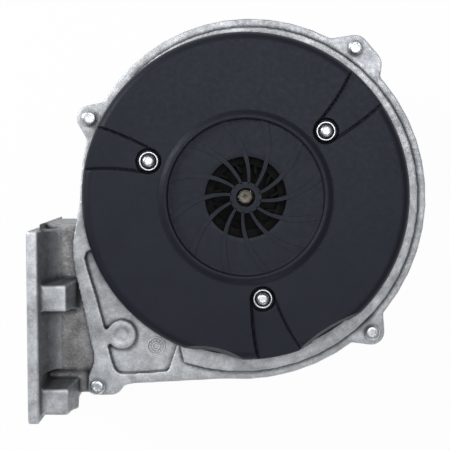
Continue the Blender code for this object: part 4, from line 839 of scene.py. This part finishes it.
def mould_mark(paint):
    """Two raised rings with plain ticks between them, cast in the corner pocket's floor."""
    low, high = MOULD_MARK_Z - 0.4, MOULD_MARK_Z + 0.32
    shapes = [turned([(outer, low), (outer, high - 0.1), (outer - 0.12, high),
                      (inner + 0.12, high), (inner, high - 0.1), (inner, low)], 64,
                     MOULD_MARK_PLACE, True) for outer, inner in ((5.4, 4.8), (2.4, 1.8))]
    for index in range(12):
        turn = 30 * index + 7
        along, across = polar(1, turn), polar(0.22, turn + 90)
        corners = [(r, side) for r, side in ((2.9, -1), (4.3, -1), (4.3, 1), (2.9, 1))]
        outline = [(MOULD_MARK_PLACE[0] + r * along[0] + side * across[0],
                    MOULD_MARK_PLACE[1] + r * along[1] + side * across[1])
                   for r, side in corners]
        shapes.append(prism([[(x, y, z) for x, y in outline] for z in (low, high - 0.08)]))
    points, faces = joined(shapes)
    new_piece("mould_mark", points, faces, paint, "housing")


def soft_casting(node, voxel, faces, paint, added=()):
    """A casting with the small fillets and soft edges that its CAD solid lacks."""
    mesh = NODES[node].data.copy()
    form = bmesh.new()
    form.from_mesh(mesh)
    bmesh.ops.remove_doubles(form, verts=form.verts, dist=CAD_WELD)
    for points, quads in added:
        made = [form.verts.new(Vector((x + AXIS_X, y + AXIS_Y, z)) * MM) for x, y, z in points]
        fresh = [form.faces.new([made[index] for index in quad]) for quad in quads]
        bmesh.ops.recalc_face_normals(form, faces=fresh)
    form.to_mesh(mesh)
    form.free()
    rough = loose_object(node + "_rough", mesh)
    remesh = rough.modifiers.new("fine", "REMESH")
    remesh.mode = "VOXEL"
    remesh.voxel_size = voxel * MM
    remesh.adaptivity = 0.0
    soften = rough.modifiers.new("soften", "SMOOTH")
    soften.factor = 0.5
    soften.iterations = 4
    mesh = applied(rough)
    count = len(mesh.polygons) * 2
    rough = loose_object(node + "_dense", mesh)
    if count > faces:
        thin = rough.modifiers.new("thin", "DECIMATE")
        thin.ratio = faces / count
        thin.use_collapse_triangulate = True
    settle(node + "_cast", applied(rough), paint, "housing", [node], 60.0)


# ================================================================ fasteners and trim
def lobed_cutter(centre, radius, low, high):
    """Six-lobed driver recess."""
    count = 72
    points, faces = [], []
    for height in (low, high):
        for step in range(count):
            turn = step * 360 / count
            wave = 0.5 + 0.5 * cos(radians(6 * turn))
            size = radius * (0.76 + 0.24 * wave ** 0.8)
            x, y = polar(size, turn)
            points.append((centre[0] + x, centre[1] + y, height))
    for step in range(count):
        beside = (step + 1) % count
        faces.append((step, beside, count + beside, count + step))
    faces.append(tuple(reversed(range(count))))
    faces.append(tuple(range(count, 2 * count)))
    return loose_object("drive", mesh_of("drive", points, faces))


def screw_profile(radius, top, seat, bottom):
    """(radius, height) of a crowned pan head and a ringed thread, from the top down."""
    thread = radius * THREAD_SHARE
    profile = [(0, top), (radius * 0.5, top - 0.02), (radius * 0.68, top - 0.12),
               (radius * 0.82, top - 0.4), (radius * 0.92, top - 0.85),
               (radius * 0.98, top - 1.4), (radius, top - 2.0), (radius, seat + 0.2),
               (radius - 0.2, seat), (thread, seat)]
    for index in range(int((seat - bottom - 1.0) / THREAD_PITCH)):
        z = seat - 0.3 - index * THREAD_PITCH
        profile += [(thread * 0.86, z), (thread, z - THREAD_PITCH / 2)]
    return profile + [(thread * 0.8, bottom + 0.4), (thread * 0.6, bottom), (0, bottom)]


def screw(node, head, drive, turn, paint):
    """Pan-head screw with a head of that height and a six-lobed drive, turned by degrees."""
    low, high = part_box(node)
    radius = (high[0] - low[0]) / 2 / MM
    x, y = box_centre(node)[0] - AXIS_X, box_centre(node)[1] - AXIS_Y
    top, bottom = high[2] / MM, low[2] / MM
    points, faces = turned(screw_profile(radius, top, top - head, bottom), 48, (x, y))
    tool = lobed_cutter((x, y), drive, top - 1.9, top + 1.0)
    spin = Matrix.Translation(Vector((x + AXIS_X, y + AXIS_Y, 0)) * MM)
    tool.data.transform(spin @ Matrix.Rotation(radians(turn), 4, "Z") @ spin.inverted())
    mesh = cut_by(node + "_body", cleaned(mesh_of(node + "_body", points, faces)), tool)
    settle(node + "_fine", mesh, paint, "housing", [node], 30.0)


def rounded_ring(node, inner, outer, paint, slot, round_by=0.25):
    """A ring with rounded edges in place of a CAD ring of the same height."""
    low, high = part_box(node)
    x, y = box_centre(node)[0] - AXIS_X, box_centre(node)[1] - AXIS_Y
    bottom, top = low[2] / MM, high[2] / MM
    c = round_by
    corners = [(outer - c, top - c, 90, 0), (outer - c, bottom + c, 0, -90),
               (inner + c, bottom + c, 270, 180), (inner + c, top - c, 180, 90)]
    profile = []
    for r, z, start, end in corners:
        for step in range(4):
            turn = radians(start + (end - start) * step / 3)
            profile.append((r + c * cos(turn), z + c * sin(turn)))
    points, faces = turned(profile, 56, (x, y), True)
    new_piece(node + "_fine", points, faces, paint, "housing", [node])


def trim(paints):
    for index in range(1, 4):
        rounded_ring(f"cover_ring_{index}", *STEEL_RING, paints["zinc_steel"], "zinc_steel")
        rounded_ring(f"cover_grommet_{index}", *GROMMET, paints["black_rubber"],
                     "black_rubber", 0.4)
        screw(f"cover_screw_{index}", COVER_HEAD_HEIGHT, COVER_DRIVE_RADIUS,
              17.0 + 23 * index, paints["zinc_steel"])
    for index in range(1, 5):
        screw(f"casing_screw_{index}", CASING_HEAD_HEIGHT, CASING_DRIVE_RADIUS,
              9.0 + 31 * index, paints["zinc_steel"])


def shaft_piece(paint):
    """Ground shaft with a turned chamfer and a centre drilling."""
    low, high = SHAFT_LOW[2] / MM, SHAFT_HIGH[2] / MM
    radius = SHAFT_RADIUS
    profile = [(0, high - 0.9), (0.5, high - 0.75), (1.05, high - 0.2), (1.25, high - 0.03),
               (1.45, high), (radius - 0.5, high), (radius - 0.2, high - 0.1),
               (radius, high - 0.4), (radius, low + 0.6), (radius - 0.6, low), (0, low)]
    points, faces = turned(profile, 64)
    new_piece("shaft_fine", points, faces, paint, "rotor", ["shaft"])


# ================================================================ everything
SLOTS = {
    "cast_aluminium": ("scroll_casing", "motor_side_casing"),
    "cover_plastic": ("motor_cover",),
    "black_rubber": ("casing_seal", "outlet_seal", "intake_seal", "cover_grommet"),
    "zinc_steel": ("casing_screw", "cover_screw", "cover_ring", "lower_bearing",
                   "upper_bearing", "rotor_can", "impeller_retainer"),
    "wheel_aluminium": ("impeller_wheel", "impeller_shroud", "intake_nozzle", "heat_sink"),
    "lamination_steel": ("stator_stack",),
    "copper_wire": ("stator_winding", "line_choke"),
    "white_plastic": ("stator_cap",),
    "shaft_steel": ("shaft", "wave_spring", "bearing_tube"),
    "board_laminate": ("circuit_board",),
    "brass": ("mains_socket_pin", "signal_socket_pin", "impeller_bush", "rotor_hub"),
    "capacitor_sleeve": ("bulk_capacitor",),
    "magnet_ferrite": ("rotor_magnet",),
    "fan_plastic": ("cooling_wheel", "board_spacer", "power_module", "motor_driver_chip",
                    "mains_socket", "signal_socket"),
}


def slot_of(node):
    """The finish whose node names start most like this node's name."""
    best = ("", "")
    for slot, starts in SLOTS.items():
        for start in starts:
            if node.startswith(start) and len(start) > len(best[0]):
                best = (start, slot)
    return best[1]


def dress_cad_nodes(paints):
    for name, obj in NODES.items():
        obj.data.materials.clear()
        obj.data.materials.append(paints[slot_of(name)])


def main():
    make_camera()
    make_world()
    make_lights()
    make_floor()
    bpy.context.scene.view_settings.view_transform = "Standard"
    paints = make_paints()
    dress_cad_nodes(paints)
    motor_cover(paints["cover_plastic"])
    soft_casting("motor_side_casing", 0.8, 180000, paints["cast_aluminium"])
    soft_casting("scroll_casing", 0.9, 190000, paints["cast_aluminium"],
                 [flange_fillet(), *(bolt_boss(middle, foot) for middle, foot in BOSSES)])
    mould_mark(paints["cast_aluminium"])
    trim(paints)
    shaft_piece(paints["shaft_steel"])


main()
